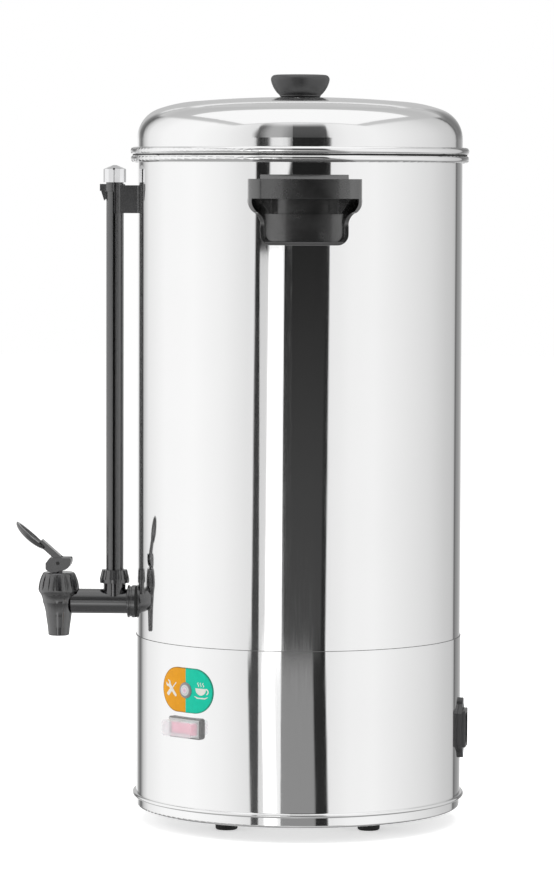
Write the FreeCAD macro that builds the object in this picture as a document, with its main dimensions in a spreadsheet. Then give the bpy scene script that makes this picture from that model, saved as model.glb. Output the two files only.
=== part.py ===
import FreeCAD, Part
import math
import os
import re
import Sketcher

# A stainless percolator urn for coffee. Millimetres and degrees, +Z up, origin on the body's axis
# at the level of the feet. The tap and its level gauge look towards -Y, the power inlet sits near
# +Y, the two handles near +X and -X. "Outward" below means away from the body's axis.

SIZES = {
    # Clearances: a seated fit, a fit that turns or slides, and the gap between loose neighbours
    "slip_fit": 0.05,
    "shaft_fit": 0.06,
    "loose_gap": 0.3,
    # Vessel
    "vessel_radius": 134.2,
    "vessel_wall": 0.8,
    "vessel_foot": 146,
    "vessel_floor": 166,
    "rim_top": 551,
    "rim_roll": 3.05,
    # Pump well in the middle of the vessel's floor
    "well_bore": 30,
    "well_depth": 20,
    "well_flange": 8,
    # Tubular heating elements
    "boil_tube": 4.2,
    "boil_drop": 13,
    "boil_azimuth": 30,
    "warm_tube": 3.3,
    "warm_ring": 75,
    "warm_azimuth": 5,
    "element_gap": 50,
    "element_bend": 9,
    "element_leg": 26,
    # Base skirt, the ring inside it and the pan below
    "skirt_top": 154.8,
    "skirt_wall": 0.6,
    "ring_width": 12,
    "ring_leg": 9,
    "pan_bottom": 12.6,
    "pan_wall": 1,
    "pan_corner": 2,
    "bead_height": 22.8,
    "bead_roll": 1.8,
    "bead_reach": 3.6,
    "pan_top": 34,
    "vent_circle": 45,
    "vent_radius": 3,
    "vent_count": 12,
    # Feet and their screws and nuts
    "foot_count": 4,
    "foot_circle": 82.3,
    "foot_azimuth": 47.5,
    "foot_top_radius": 10,
    "foot_bottom_radius": 9,
    "foot_bevel": 0.8,
    "foot_recess_radius": 5.4,
    "foot_recess_depth": 6,
    "foot_screw_radius": 2,
    "foot_head_radius": 4.6,
    "foot_head_height": 2.6,
    "foot_screw_tail": 2,
    "foot_nut_across": 7,
    "foot_nut_height": 3.2,
    # Tie rods that pull the pan up against the skirt
    "rod_count": 3,
    "rod_circle": 112,
    "rod_azimuth": 55,
    "rod_radius": 2.5,
    "rod_tail": 0.6,
    "rod_nut_across": 8,
    "rod_nut_height": 3.2,
    # Handles, with heights from plate_bottom
    "handle_azimuth": 4,
    "plate_bottom": 479,
    "plate_top": 56,
    "plate_width": 70,
    "plate_depth": 9,
    "plate_corner": 9,
    "grip_bottom": 37,
    "grip_top": 52.5,
    "grip_width": 90,
    "grip_reach": 37,
    "grip_corner": 13,
    "grip_wall": 4.5,
    "web_wall": 3,
    "belly_top": 25,
    "recess_depth": 4.5,
    "rib_spread": 53,
    "rib_width": 10,
    "handle_screw_height": 15,
    "handle_screw_spread": 36,
    "handle_screw_radius": 2.5,
    "handle_screw_depth": 5.5,
    "handle_head_radius": 4.5,
    "handle_head_height": 3,
    "handle_washer_radius": 7,
    "handle_washer_depth": 3,
    # Tap: its axis above the skirt and its reach from the vessel's side, then the shank
    # through the wall, the body, its bonnet and stem, with heights from that axis
    "tap_azimuth": 270,
    "tap_height": 25.5,
    "tap_reach": 65.6,
    "shank_thread": 8,
    "shank_bore": 5.5,
    "shank_tail": 15,
    "gasket_depth": 1.4,
    "flange_radius": 13.6,
    "flange_groove": 12.7,
    "flange_depth": 7.1,
    "barrel_radius": 10.3,
    "shank_washer_radius": 14,
    "shank_washer_depth": 2.5,
    "shank_nut_across": 24,
    "shank_nut_depth": 5.5,
    "spout_bottom": -28.6,
    "spout_radius": 8.7,
    "spout_bore": 6,
    "seat_height": -6,
    "chamber_radius": 8.6,
    "body_waist": 13.3,
    "body_shoulder": 15.2,
    "body_shoulder_height": 6.3,
    "body_neck_radius": 12.2,
    "body_neck_height": 7,
    "bonnet_radius": 17,
    "bonnet_bulge_height": 9.6,
    "bonnet_crown": 12,
    "bonnet_top": 24,
    "bonnet_roof": 6,
    "bonnet_flutes": 16,
    "flute_width": 1.6,
    "flute_depth": 0.1,
    "stem_radius": 3,
    "eye_width": 6,
    "eye_depth": 7,
    "pin_height": 32,
    "pin_radius": 1.5,
    "cup_radius": 7.4,
    "cup_height": 4.5,
    "cup_lip": 1.5,
    "cup_seat_gap": 0.1,
    "spring_wire": 0.6,
    "spring_radius": 5.4,
    "spring_turns": 6,
    # Lever
    "lever_width": 16,
    "lever_angle": 41,
    "cam_throw": 4,
    "cam_phase": 15,
    "cam_gap": 0.15,
    "hub_front": 10.3,
    "hub_back": 11,
    "hub_top": 4.5,
    "neck_width": 11,
    "neck_wall": 5,
    "neck_offset": 3,
    "paddle_centre": 31.5,
    "paddle_length": 34,
    "paddle_width": 23,
    "paddle_depth": 5.6,
    "paddle_rim": 2.2,
    "dish_length": 28,
    "dish_width": 17.5,
    "dish_depth": 3.8,
    # Level gauge: its reach from the vessel's side, and heights of its foot from the
    # shank's axis, of its bracket from bracket_bottom and of its cap from the bracket's top
    "gauge_reach": 19,
    "boss_radius": 9.2,
    "boss_top": 15.7,
    "gland_radius": 7.6,
    "gland_height": 7,
    "gauge_nut_base": 12.4,
    "gauge_nut_crown": 10.5,
    "gauge_nut_top": 26.5,
    "gauge_nut_lip": 1.3,
    "knurl_count": 18,
    "knurl_width": 1.8,
    "knurl_depth": 0.7,
    "seal_height": 2,
    "glass_radius": 5,
    "glass_wall": 1.2,
    "glass_foot": 10,
    "guard_radius": 7.4,
    "guard_wall": 1.6,
    "guard_slot": 6,
    "groove_width": 1.6,
    "groove_depth": 0.8,
    "bracket_bottom": 503,
    "bracket_top": 24,
    "bracket_head": 8.6,
    "bracket_arm": 14,
    "bracket_cap": 5.7,
    "tab_reach": 12.1,
    "tab_width": 8,
    "bracket_neck": 7.2,
    "bracket_neck_height": 8,
    "bracket_screw_radius": 2,
    "bracket_screw_depth": 9,
    "bracket_screw_head": 3.8,
    "bracket_screw_head_height": 2.4,
    "cap_radius": 9.3,
    "cap_bottom": 1.4,
    "cap_shoulder": 12.3,
    "cap_top": 15.6,
    "cap_tip": 1.6,
    "cap_roof": 1.8,
    "cap_facets": 12,
    "cap_vent": 0.9,
    # Control panel on the skirt: signal plate, pilot lamp and rocker switch
    "panel_azimuth": 320.5,
    "sign_height": 119.4,
    "sign_width": 55,
    "sign_tall": 36.3,
    "sign_wall": 0.8,
    "lamp_radius": 5.4,
    "lamp_flange": 6.4,
    "lamp_flange_depth": 1,
    "lamp_dome": 1.4,
    "lamp_depth": 20,
    "switch_height": 89,
    "bezel_width": 36,
    "bezel_tall": 17,
    "bezel_depth": 3.4,
    "bezel_corner": 2.5,
    "bezel_bevel": 1.8,
    "housing_width": 33,
    "housing_tall": 13.4,
    "housing_depth": 22,
    "pocket_width": 30,
    "pocket_tall": 10.4,
    "pocket_depth": 10.5,
    "rocker_play": 0.3,
    "rocker_tilt": 7,
    "rocker_rise": 1,
    "rocker_body": 3,
    "trunnion_radius": 1.6,
    "trunnion_length": 1,
    "trunnion_depth": 5,
    "boot_width": 32.3,
    "boot_tall": 12.5,
    "boot_rise": 8.5,
    "boot_wall": 0.8,
    "tab_length": 9,
    "tab_height": 6.3,
    "tab_wall": 0.8,
    # Temperature controls under the vessel's floor
    "sensor_circle": 106,
    "sensor_azimuth": 200,
    "sensor_spread": 44,
    "sensor_radius": 9,
    "sensor_height": 9,
    "sensor_tab": 7,
    "strap_width": 9,
    "strap_wall": 1,
    # Terminal block on the pan
    "block_x": 14,
    "block_y": 52,
    "block_length": 48,
    "block_width": 18,
    "block_height": 17,
    "block_base": 3,
    "block_poles": 4,
    "block_screw_radius": 2.4,
    # Power inlet
    "inlet_azimuth": 85,
    "inlet_height": 79,
    "inlet_length": 50,
    "inlet_width": 27,
    "inlet_plate": 3.1,
    "inlet_ear": 10,
    "inlet_screw_spread": 40,
    "inlet_screw_radius": 1.75,
    "inlet_screw_head": 3.4,
    "inlet_screw_length": 12,
    "inlet_nut_across": 6,
    "inlet_nut_height": 2.4,
    "collar_tall": 31,
    "collar_width": 23.4,
    "collar_depth": 2.6,
    "socket_tall": 24.6,
    "socket_width": 17,
    "socket_depth": 17,
    "socket_bevel": 4,
    "shell_tall": 28,
    "shell_width": 20.4,
    "shell_depth": 25,
    "blade_pitch": 7,
    "blade_offset": 4,
    "blade_width": 4,
    "blade_wall": 2,
    "blade_length": 14,
    "lead_radius": 1.4,
    "lead_bend": 9,
    # Percolator pump
    "pump_tube_radius": 6.5,
    "pump_tube_wall": 0.8,
    "pump_tube_foot": 148.5,
    "pump_tube_top": 572,
    "dome_radius": 27,
    "dome_roof": 161,
    "dome_roof_radius": 20,
    "dome_foot_gap": 0.3,
    "dome_wall": 1.2,
    "inlet_hole_circle": 13,
    "inlet_hole_radius": 2.2,
    "inlet_hole_count": 6,
    "tube_bead": 9,
    "tube_bead_height": 2,
    "valve_seat": 156,
    "valve_bore": 7.3,
    "valve_radius": 17,
    "valve_wall": 1.2,
    "collar_radius": 12,
    "collar_height": 4,
    # Coffee basket and its spreader
    "basket_seat": 451,
    "basket_radius": 98,
    "basket_height": 83,
    "basket_wall": 0.8,
    "basket_lip": 3,
    "sleeve_gap": 0.6,
    "sleeve_height": 78,
    "sieve_hole": 1.5,
    "sieve_pitch": 18,
    "sieve_rings": 4,
    "sieve_step": 9,
    "spreader_radius": 99,
    "spreader_rim": 6,
    "spreader_collar": 5,
    # Lid: its radius beyond the vessel's, and its top above the rim
    "lid_radius": 0.1,
    "lid_wall": 0.8,
    "lid_top": 47.9,
    "crown_radius": 1000,
    "brow_radius": 110,
    "shoulder_radius": 26,
    "shoulder_slope": 20,
    "lid_roll": 3.1,
    "lid_vent_circle": 62,
    "lid_vent_radius": 2,
    "lid_play": 1,
    "ring_drop": 11,
    "ring_rise": 2.6,
    "knob_radius": 24.2,
    "knob_neck": 17,
    "knob_height": 18.3,
    "knob_side": 22,
    "knob_bottom_edge": 1.5,
    "knob_crown_edge": 3.5,
    "knob_dish": 1,
    "knob_screw_radius": 2.5,
    "knob_screw_depth": 11,
    "knob_washer_radius": 9,
    "knob_washer_depth": 1.2,
    "knob_head_radius": 4.5,
    "knob_head_height": 3,
}

# Lengths that follow from the sizes above
WORKED_OUT = {
    "tap_level": "skirt_top + tap_height",
    "spout_axis": "vessel_radius + tap_reach",
    "gauge_axis": "vessel_radius + gauge_reach",
    "lid_side": "vessel_radius + lid_radius",
    "crown_top": "rim_top + lid_top",
    "vessel_bore": "vessel_radius - vessel_wall",
    "floor_under": "vessel_floor - vessel_wall",
    "rim_centre": "vessel_bore + rim_roll",
    "rim_level": "rim_top - rim_roll",
    "well_outside": "well_bore + vessel_wall",
    "well_floor": "vessel_floor - well_depth",
    "boil_ring": "well_outside + boil_tube + slip_fit",
    "boil_level": "floor_under - boil_drop",
    "warm_level": "floor_under - warm_tube - slip_fit",
    "skirt_bore": "vessel_radius + slip_fit",
    "skirt_radius": "skirt_bore + skirt_wall",
    "pan_floor": "pan_bottom + pan_wall",
    "bead_top": "bead_height + bead_roll",
    "foot_screw_hole": "foot_screw_radius + slip_fit * 2",
    "foot_screw_end": "pan_floor + foot_nut_height + foot_screw_tail",
    "rod_hole": "rod_radius + slip_fit * 2",
    "gauge_top": "bracket_bottom + bracket_top + bracket_neck_height - 0.5",
    "bracket_middle": "bracket_bottom + bracket_top / 2",
    "plate_face": "vessel_radius + plate_depth",
    "grip_face": "vessel_radius + grip_reach",
    "handle_head_seat": "vessel_bore - handle_washer_depth",
    "handle_screw_level": "plate_bottom + handle_screw_height",
    "web_foot": "grip_bottom * 0.4",
    "flange_start": "vessel_radius + gasket_depth",
    "flange_end": "flange_start + flange_depth",
    "tail_end": "vessel_bore - shank_tail",
    "neck_top": "body_shoulder_height + body_neck_height",
    "bonnet_ceiling": "bonnet_top - bonnet_roof",
    "cup_bottom": "seat_height + cup_seat_gap",
    "cup_top": "cup_bottom + cup_height",
    "cam_radius": "pin_height - bonnet_top - cam_gap + cam_throw * sin(cam_phase)",
    "gland_bore": "glass_radius + slip_fit",
    "gland_top": "boss_top + gland_height",
    "guard_foot": "tap_level + gauge_nut_top + slip_fit",
    "guard_seat": "bracket_top - bracket_cap",
    "guard_top": "bracket_bottom + guard_seat",
    "sign_radius": "skirt_radius + slip_fit",
    "bezel_face": "skirt_radius + bezel_depth",
    "switch_back": "bezel_face - housing_depth",
    "pivot_reach": "bezel_face - trunnion_depth",
    "inlet_face": "skirt_radius + inlet_plate",
    "shell_back": "inlet_face - shell_depth",
    "dome_foot": "well_floor + dome_foot_gap",
    "basket_bottom": "basket_seat + slip_fit * 2",
    "basket_top": "basket_bottom + basket_height",
    "sleeve_bore": "pump_tube_radius + sleeve_gap",
    "lid_bore": "lid_side - lid_wall",
    "lid_roll_centre": "lid_bore + lid_roll",
    "lid_roll_level": "rim_top + loose_gap + lid_roll",
    "crown_centre": "crown_top - crown_radius",
    "shoulder_centre": "lid_side - shoulder_radius",
    "brow_centre": "shoulder_centre - (brow_radius - shoulder_radius) * sin(shoulder_slope)",
    "crown_lean": "brow_centre / (crown_radius - brow_radius)",
    "crown_rise": "sqrt(1 - crown_lean ^ 2)",
    "brow_level": "crown_centre + (crown_radius - brow_radius) * crown_rise",
    "shoulder_level": "brow_level + (brow_radius - shoulder_radius) * cos(shoulder_slope)",
    "lid_under": "crown_top - lid_wall",
    "ring_radius": "vessel_bore - lid_play",
    "lead_level": "pan_floor + 7",
}

doc = FreeCAD.newDocument("CoffeeUrn")
sheet = doc.addObject("Spreadsheet::Sheet", "Sizes")
for row, (alias, size) in enumerate(SIZES.items(), start=1):
    sheet.set(f"A{row}", alias)
    sheet.set(f"B{row}", str(size))
    sheet.setAlias(f"B{row}", alias)
doc.recompute()

NODES = []
LEG_ENDS = {}


# Expressions

def bound(text):
    """Writes an expression with each size taken from the sheet."""
    def from_sheet(word):
        name = word.group()
        if name in SIZES:
            return "Sizes." + name
        if name in WORKED_OUT:
            return "(" + bound(WORKED_OUT[name]) + ")"
        return name
    with_degrees = re.sub(r"\b(sin|cos|tan)\(([^()]*)\)", r"\1((\2) * 1 deg)", text)
    return re.sub(r"[a-z][a-z_]*", from_sheet, with_degrees)


def value(text):
    """The number that an expression gives."""
    return float(sheet.evalExpression(bound(text)))


def bind(part, attribute, text):
    """Ties one property to an expression."""
    part.setExpression(attribute, bound(text))


def put(part, x="0", y="0", z="0", axis=(0, 0, 1), turn="0"):
    """Places a part, turned about an axis through its own origin."""
    turned = FreeCAD.Rotation(FreeCAD.Vector(*axis), value(turn))
    part.Placement = FreeCAD.Placement(FreeCAD.Vector(value(x), value(y), value(z)), turned)
    for letter, text in (("x", x), ("y", y), ("z", z)):
        if text != "0":
            bind(part, "Placement.Base." + letter, text)
    if re.search("[a-z]", turn):
        bind(part, "Placement.Rotation.Angle", turn)
    return part


def node(part, label):
    """Names a finished sub-part."""
    part.Label = label
    NODES.append(part)
    return part


# Sketches and features

def feature_of(body, role):
    """One of a body's own origin planes or axes."""
    return next(item for item in body.Origin.OriginFeatures if item.Role == role)


def new_sketch(body, name, plane, offset="0"):
    """An empty sketch on one of a body's origin planes."""
    sketch = body.newObject("Sketcher::SketchObject", name)
    sketch.AttachmentSupport = [(feature_of(body, plane), "")]
    sketch.MapMode = "FlatFace"
    if offset != "0":
        bind(sketch, "AttachmentOffset.Base.z", offset)
    return sketch


def fix_point(sketch, index, end, across, up):
    """Ties one end of a line or arc to two expressions."""
    for kind, text, along_axis in (("DistanceX", across, -2), ("DistanceY", up, -1)):
        if text == "0":
            sketch.addConstraint(Sketcher.Constraint("PointOnObject", index, end, along_axis))
        else:
            rule = Sketcher.Constraint(kind, -1, 1, index, end, value(text))
            number = sketch.addConstraint(rule)
            bind(sketch, f"Constraints[{number}]", text)


def arc_through(start, finish, radius):
    """An arc of less than a half turn; a positive radius turns left on the way."""
    middle = (start + finish) * 0.5
    chord = finish - start
    rise = math.sqrt(max(radius * radius - chord.Length ** 2 / 4, 0))
    side = FreeCAD.Vector(-chord.y, chord.x, 0) / chord.Length
    centre = middle + side * math.copysign(rise, radius)
    first, last = (start, finish) if radius > 0 else (finish, start)
    angles = [math.atan2(point.y - centre.y, point.x - centre.x) for point in (first, last)]
    circle = Part.Circle(centre, FreeCAD.Vector(0, 0, 1), abs(radius))
    return Part.ArcOfCircle(circle, *angles)


def draw_outline(sketch, corners):
    """Draws a closed outline. A corner is (across, up), with the radius of the arc that
    leads to it as a third item, negative where the arc turns right."""
    points = [FreeCAD.Vector(value(corner[0]), value(corner[1]), 0) for corner in corners]
    ends = []
    for index, corner in enumerate(corners):
        start, finish = points[index - 1], points[index]
        if len(corner) == 2:
            line = sketch.addGeometry(Part.LineSegment(start, finish), False)
            ends.append((line, 1, 2))
            continue
        radius = value(corner[2])
        arc = sketch.addGeometry(arc_through(start, finish, radius), False)
        size = sketch.addConstraint(Sketcher.Constraint("Radius", arc, abs(radius)))
        bind(sketch, f"Constraints[{size}]", f"abs({corner[2]})")
        ends.append((arc, 1, 2) if radius > 0 else (arc, 2, 1))
    for index, (line, first, last) in enumerate(ends):
        after, after_first, _ = ends[(index + 1) % len(ends)]
        sketch.addConstraint(Sketcher.Constraint("Coincident", line, last, after, after_first))
        fix_point(sketch, line, last, *corners[index][:2])


def draw_circle(sketch, across, up, radius):
    """Draws a circle."""
    centre = FreeCAD.Vector(value(across), value(up), 0)
    ring = sketch.addGeometry(Part.Circle(centre, FreeCAD.Vector(0, 0, 1), value(radius)), False)
    fix_point(sketch, ring, 3, across, up)
    size = sketch.addConstraint(Sketcher.Constraint("Radius", ring, value(radius)))
    bind(sketch, f"Constraints[{size}]", radius)


def turned_body(name, corners, axis="V_Axis"):
    """A body of revolution: about Z with the outline given as (radius, height), or about X
    with it given as (distance outward, radius)."""
    body = doc.addObject("PartDesign::Body", name)
    sketch = new_sketch(body, name + "Outline", "XZ_Plane")
    draw_outline(sketch, corners)
    turn = body.newObject("PartDesign::Revolution", name + "Turn")
    turn.Profile = sketch
    turn.ReferenceAxis = (sketch, [axis])
    turn.Angle = 360
    return body


def padded_body(name, plane, corners, start, end, holes=()):
    """A body pushed out of an outline, from one level to another along the plane's normal."""
    body = doc.addObject("PartDesign::Body", name)
    sketch = new_sketch(body, name + "Outline", plane, start)
    draw_outline(sketch, corners)
    for hole in holes:
        draw_circle(sketch, *hole)
    pad = body.newObject("PartDesign::Pad", name + "Pad")
    pad.Profile = sketch
    bind(pad, "Length", f"({end}) - ({start})")
    return body


def ring_of_holes(body, name, circle, radius, count):
    """Drills a ring of holes upward through a body, each a copy of the first."""
    doc.recompute()
    before = body.Shape.Volume
    sketch = new_sketch(body, name + "Circle", "XY_Plane")
    draw_circle(sketch, circle, "0", radius)
    pocket = body.newObject("PartDesign::Pocket", name + "Hole")
    pocket.Profile = sketch
    pocket.Type = "ThroughAll"
    pocket.Reversed = True
    pattern = body.newObject("PartDesign::PolarPattern", name + "Ring")
    pattern.Originals = [pocket]
    pattern.Axis = (feature_of(body, "Z_Axis"), [""])
    pattern.Angle = 360
    bind(pattern, "Occurrences", count)
    body.Tip = pattern
    doc.recompute()
    if not body.Shape.Volume < before:
        raise RuntimeError(name + " took nothing away")


# Primitives and booleans

def upright(name, radius, bottom, top, x="0", y="0"):
    """A cylinder along Z."""
    part = doc.addObject("Part::Cylinder", name)
    bind(part, "Radius", radius)
    bind(part, "Height", f"({top}) - ({bottom})")
    return put(part, x, y, bottom)


def outward(name, radius, start, end, y="0", z="0"):
    """A cylinder along X."""
    part = doc.addObject("Part::Cylinder", name)
    bind(part, "Radius", radius)
    bind(part, "Height", f"({end}) - ({start})")
    return put(part, start, y, z, (0, 1, 0), "90")


def sideways(name, radius, start, end, x="0", z="0"):
    """A cylinder along Y."""
    part = doc.addObject("Part::Cylinder", name)
    bind(part, "Radius", radius)
    bind(part, "Height", f"({end}) - ({start})")
    return put(part, x, end, z, (1, 0, 0), "90")


def brick(name, x, y, z):
    """A box between two bounds in each direction."""
    part = doc.addObject("Part::Box", name)
    for attribute, (low, high) in (("Length", x), ("Width", y), ("Height", z)):
        bind(part, attribute, f"({high}) - ({low})")
    return put(part, x[0], y[0], z[0])


def joined(name, *parts):
    """Parts fused into one solid."""
    whole = doc.addObject("Part::MultiFuse", name)
    whole.Shapes = list(parts)
    return whole


def shared(name, *parts):
    """What parts have in common."""
    whole = doc.addObject("Part::MultiCommon", name)
    whole.Shapes = list(parts)
    return whole


def grouped(name, parts):
    """Separate solids kept together."""
    whole = doc.addObject("Part::Compound", name)
    whole.Links = list(parts)
    return whole


def cut(name, base, *tools):
    """A part with tools taken away."""
    whole = doc.addObject("Part::Cut", name)
    whole.Base = base
    whole.Tool = tools[0] if len(tools) == 1 else grouped(name + "Tools", tools)
    return whole


def hexagon(name, across, bottom, top, bore, x="0", y="0"):
    """A hexagon nut along Z, by its size across the flats."""
    part = doc.addObject("Part::Prism", name + "Blank")
    part.Polygon = 6
    bind(part, "Circumradius", f"({across}) / sqrt(3)")
    bind(part, "Height", f"({top}) - ({bottom})")
    put(part, x, y, bottom)
    return cut(name, part, upright(name + "Bore", bore, f"{bottom} - 1", f"{top} + 1", x, y))


def outward_hexagon(name, across, start, end, bore, y="0", z="0"):
    """A hexagon nut along X, by its size across the flats."""
    part = doc.addObject("Part::Prism", name + "Blank")
    part.Polygon = 6
    bind(part, "Circumradius", f"({across}) / sqrt(3)")
    bind(part, "Height", f"({end}) - ({start})")
    put(part, start, y, z, (0, 1, 0), "90")
    return cut(name, part, outward(name + "Bore", bore, f"{start} - 1", f"{end} + 1", y, z))


def around(count, first):
    """The azimuths of equal steps round the axis, as expressions."""
    return [f"{first} + {index} * 360 / {count}" for index in range(round(value(count)))]


def copies_around(name, make, azimuths):
    """Copies of a part that is made on the +X side, one at each azimuth."""
    return grouped(name, [put(make(f"{name}{index}"), turn=azimuth)
                          for index, azimuth in enumerate(azimuths)])


# Vessel with its rolled rim, and the pump well in its floor

def make_vessel():
    shell = turned_body("VesselShell", [
        ("well_bore", "floor_under"),
        ("vessel_bore", "floor_under"),
        ("vessel_bore", "vessel_foot"),
        ("vessel_radius", "vessel_foot"),
        ("vessel_radius", "rim_level"),
        ("rim_centre", "rim_top - vessel_wall", "vessel_wall - rim_roll"),
        ("rim_centre + rim_roll - vessel_wall", "rim_level", "vessel_wall - rim_roll"),
        ("rim_centre", "rim_level - rim_roll + vessel_wall", "vessel_wall - rim_roll"),
        ("rim_centre", "rim_level - rim_roll"),
        ("rim_centre + rim_roll", "rim_level", "rim_roll"),
        ("rim_centre", "rim_top", "rim_roll"),
        ("vessel_bore", "rim_level", "rim_roll"),
        ("vessel_bore", "vessel_floor"),
        ("well_bore", "vessel_floor"),
    ])
    through = ("vessel_bore - 5", "vessel_radius + 5")
    tap_side = grouped("TapSideHoles", [
        outward("TapHole", "shank_thread + slip_fit * 2", *through, z="tap_level"),
        outward("BracketHole", "bracket_screw_radius + slip_fit * 2", *through,
                z="bracket_middle"),
    ])
    put(tap_side, turn="tap_azimuth")

    def pair(name):
        return grouped(name, [
            outward(name + side, "handle_screw_radius + slip_fit * 2", *through,
                    y=f"{sign} * handle_screw_spread / 2", z="handle_screw_level")
            for side, sign in (("Left", -1), ("Right", 1))])
    handles = copies_around("HandleHoles", pair, ["handle_azimuth", "handle_azimuth + 180"])
    node(cut("Vessel", shell, tap_side, handles), "vessel")


def make_pump_well():
    node(turned_body("PumpWell", [
        ("0", "well_floor - vessel_wall"),
        ("well_outside", "well_floor - vessel_wall"),
        ("well_outside", "floor_under - vessel_wall"),
        ("well_bore + well_flange", "floor_under - vessel_wall"),
        ("well_bore + well_flange", "floor_under"),
        ("well_bore", "floor_under"),
        ("well_bore", "well_floor"),
        ("0", "well_floor"),
    ]), "pump_well")


# Tubular heating elements: a ring with both ends bent down

def make_element(label, ring, tube, level, azimuth):
    ring, tube, level, azimuth = value(ring), value(tube), value(level), value(azimuth)
    bend, leg = value("element_bend"), value("element_leg")
    half_gap = value("element_gap") / 2
    up = FreeCAD.Vector(0, 0, 1)

    def on_ring(degrees):
        return FreeCAD.Rotation(up, degrees).multVec(FreeCAD.Vector(ring, 0, 0)) + up * level

    def leg_at(degrees, sense):
        start = on_ring(degrees)
        along = FreeCAD.Rotation(up, degrees).multVec(FreeCAD.Vector(0, sense, 0))
        low = start + (along - up) * bend
        between = start + along * bend * math.sin(math.pi / 4) - up * bend * (1 - math.cos(math.pi / 4))
        return Part.Arc(start, between, low).toShape(), Part.LineSegment(low, low - up * leg).toShape()
    first, last = azimuth + half_gap, azimuth + 360 - half_gap
    curl_in, leg_in = leg_at(first, -1)
    curl_out, leg_out = leg_at(last, 1)
    middle = on_ring((first + last) / 2)
    round_arc = Part.Arc(on_ring(first), middle, on_ring(last)).toShape()
    path = Part.Wire([leg_in, curl_in, round_arc, curl_out, leg_out])
    foot = path.OrderedVertexes[0].Point
    section = Part.Wire(Part.Circle(foot, up, tube).toShape())
    part = doc.addObject("Part::Feature", label.title().replace("_", ""))
    part.Shape = path.makePipeShell([section], True, True)
    LEG_ENDS[label] = [leg_in.Vertexes[1].Point, leg_out.Vertexes[1].Point]
    node(part, label)


def make_elements():
    make_element("boil_element", "boil_ring", "boil_tube", "boil_level", "boil_azimuth")
    make_element("keep_warm_element", "warm_ring", "warm_tube", "warm_level", "warm_azimuth")


# Base: support ring, skirt, pan, feet and tie rods

def make_support_ring():
    outside = "(skirt_bore - slip_fit)"
    node(turned_body("SupportRing", [
        (f"{outside} - ring_width", "vessel_foot - skirt_wall"),
        (f"{outside} - skirt_wall", "vessel_foot - skirt_wall"),
        (f"{outside} - skirt_wall", "vessel_foot - ring_leg"),
        (outside, "vessel_foot - ring_leg"),
        (outside, "vessel_foot"),
        (f"{outside} - ring_width", "vessel_foot"),
    ]), "support_ring")


def make_skirt():
    shell = turned_body("SkirtShell", [
        ("skirt_bore", "bead_top"),
        ("skirt_radius", "bead_top"),
        ("skirt_radius", "skirt_top"),
        ("skirt_bore", "skirt_top"),
    ])
    through = ("skirt_bore - 8", "skirt_radius + 8")
    clear = "slip_fit * 2"
    panel_side = grouped("PanelCutOuts", [
        outward("LampHole", f"lamp_radius + {clear}", *through, z="sign_height"),
        brick("SwitchHole", through,
              (f"-housing_width / 2 - {clear}", f"housing_width / 2 + {clear}"),
              (f"switch_height - housing_tall / 2 - {clear}",
               f"switch_height + housing_tall / 2 + {clear}")),
    ])
    put(panel_side, turn="panel_azimuth")
    inlet_side = grouped("InletCutOuts", [
        brick("InletHole", through,
              (f"-shell_width / 2 - {clear}", f"shell_width / 2 + {clear}"),
              (f"inlet_height - shell_tall / 2 - {clear}", f"inlet_height + shell_tall / 2 + {clear}")),
        outward("InletHoleLow", f"inlet_screw_radius + {clear}", *through,
                z="inlet_height - inlet_screw_spread / 2"),
        outward("InletHoleHigh", f"inlet_screw_radius + {clear}", *through,
                z="inlet_height + inlet_screw_spread / 2"),
    ])
    put(inlet_side, turn="inlet_azimuth")
    node(cut("BaseSkirt", shell, panel_side, inlet_side), "base_skirt")


def make_pan():
    inside = "vessel_radius - pan_wall"
    tip = "(vessel_radius + bead_reach - bead_roll)"
    blank = turned_body("PanBlank", [
        ("0", "pan_bottom"),
        ("vessel_radius - pan_corner", "pan_bottom"),
        ("vessel_radius", "pan_bottom + pan_corner", "pan_corner"),
        ("vessel_radius", "bead_height - bead_roll"),
        (tip, "bead_height - bead_roll"),
        (f"{tip} + bead_roll", "bead_height", "bead_roll"),
        (tip, "bead_top", "bead_roll"),
        ("vessel_radius", "bead_top"),
        ("vessel_radius", "pan_top"),
        (inside, "pan_top"),
        (inside, "bead_top - pan_wall"),
        (tip, "bead_top - pan_wall"),
        (f"{tip} + bead_roll - pan_wall", "bead_height", "pan_wall - bead_roll"),
        (tip, "bead_height - bead_roll + pan_wall", "pan_wall - bead_roll"),
        (inside, "bead_height - bead_roll + pan_wall"),
        (inside, "pan_bottom + pan_corner"),
        ("vessel_radius - pan_corner", "pan_floor", "pan_wall - pan_corner"),
        ("0", "pan_floor"),
    ])
    ring_of_holes(blank, "Vent", "vent_circle", "vent_radius", "vent_count")
    through = ("pan_bottom - 5", "pan_floor + 5")
    feet = [out_on_circle(upright(f"FootHole{index}", "foot_screw_hole", *through), "foot_circle", azimuth)
            for index, azimuth in enumerate(around("foot_count", "foot_azimuth"))]
    rods = [out_on_circle(upright(f"RodHole{index}", "rod_hole", *through), "rod_circle", azimuth)
            for index, azimuth in enumerate(around("rod_count", "rod_azimuth"))]
    node(cut("BasePan", blank, *feet, *rods), "base_pan")


def out_on_circle(part, circle, azimuth):
    """Moves a part out from the axis to an azimuth on a circle."""
    bind(part, "Placement.Base.x", f"{circle} * cos({azimuth})")
    bind(part, "Placement.Base.y", f"{circle} * sin({azimuth})")
    return part


def make_foot(name):
    return turned_body(name, [
        ("foot_screw_hole", "foot_recess_depth"),
        ("foot_recess_radius", "foot_recess_depth"),
        ("foot_recess_radius", "0"),
        ("foot_bottom_radius - foot_bevel", "0"),
        ("foot_bottom_radius", "foot_bevel"),
        ("foot_top_radius", "pan_bottom"),
        ("foot_screw_hole", "pan_bottom"),
    ])


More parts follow.
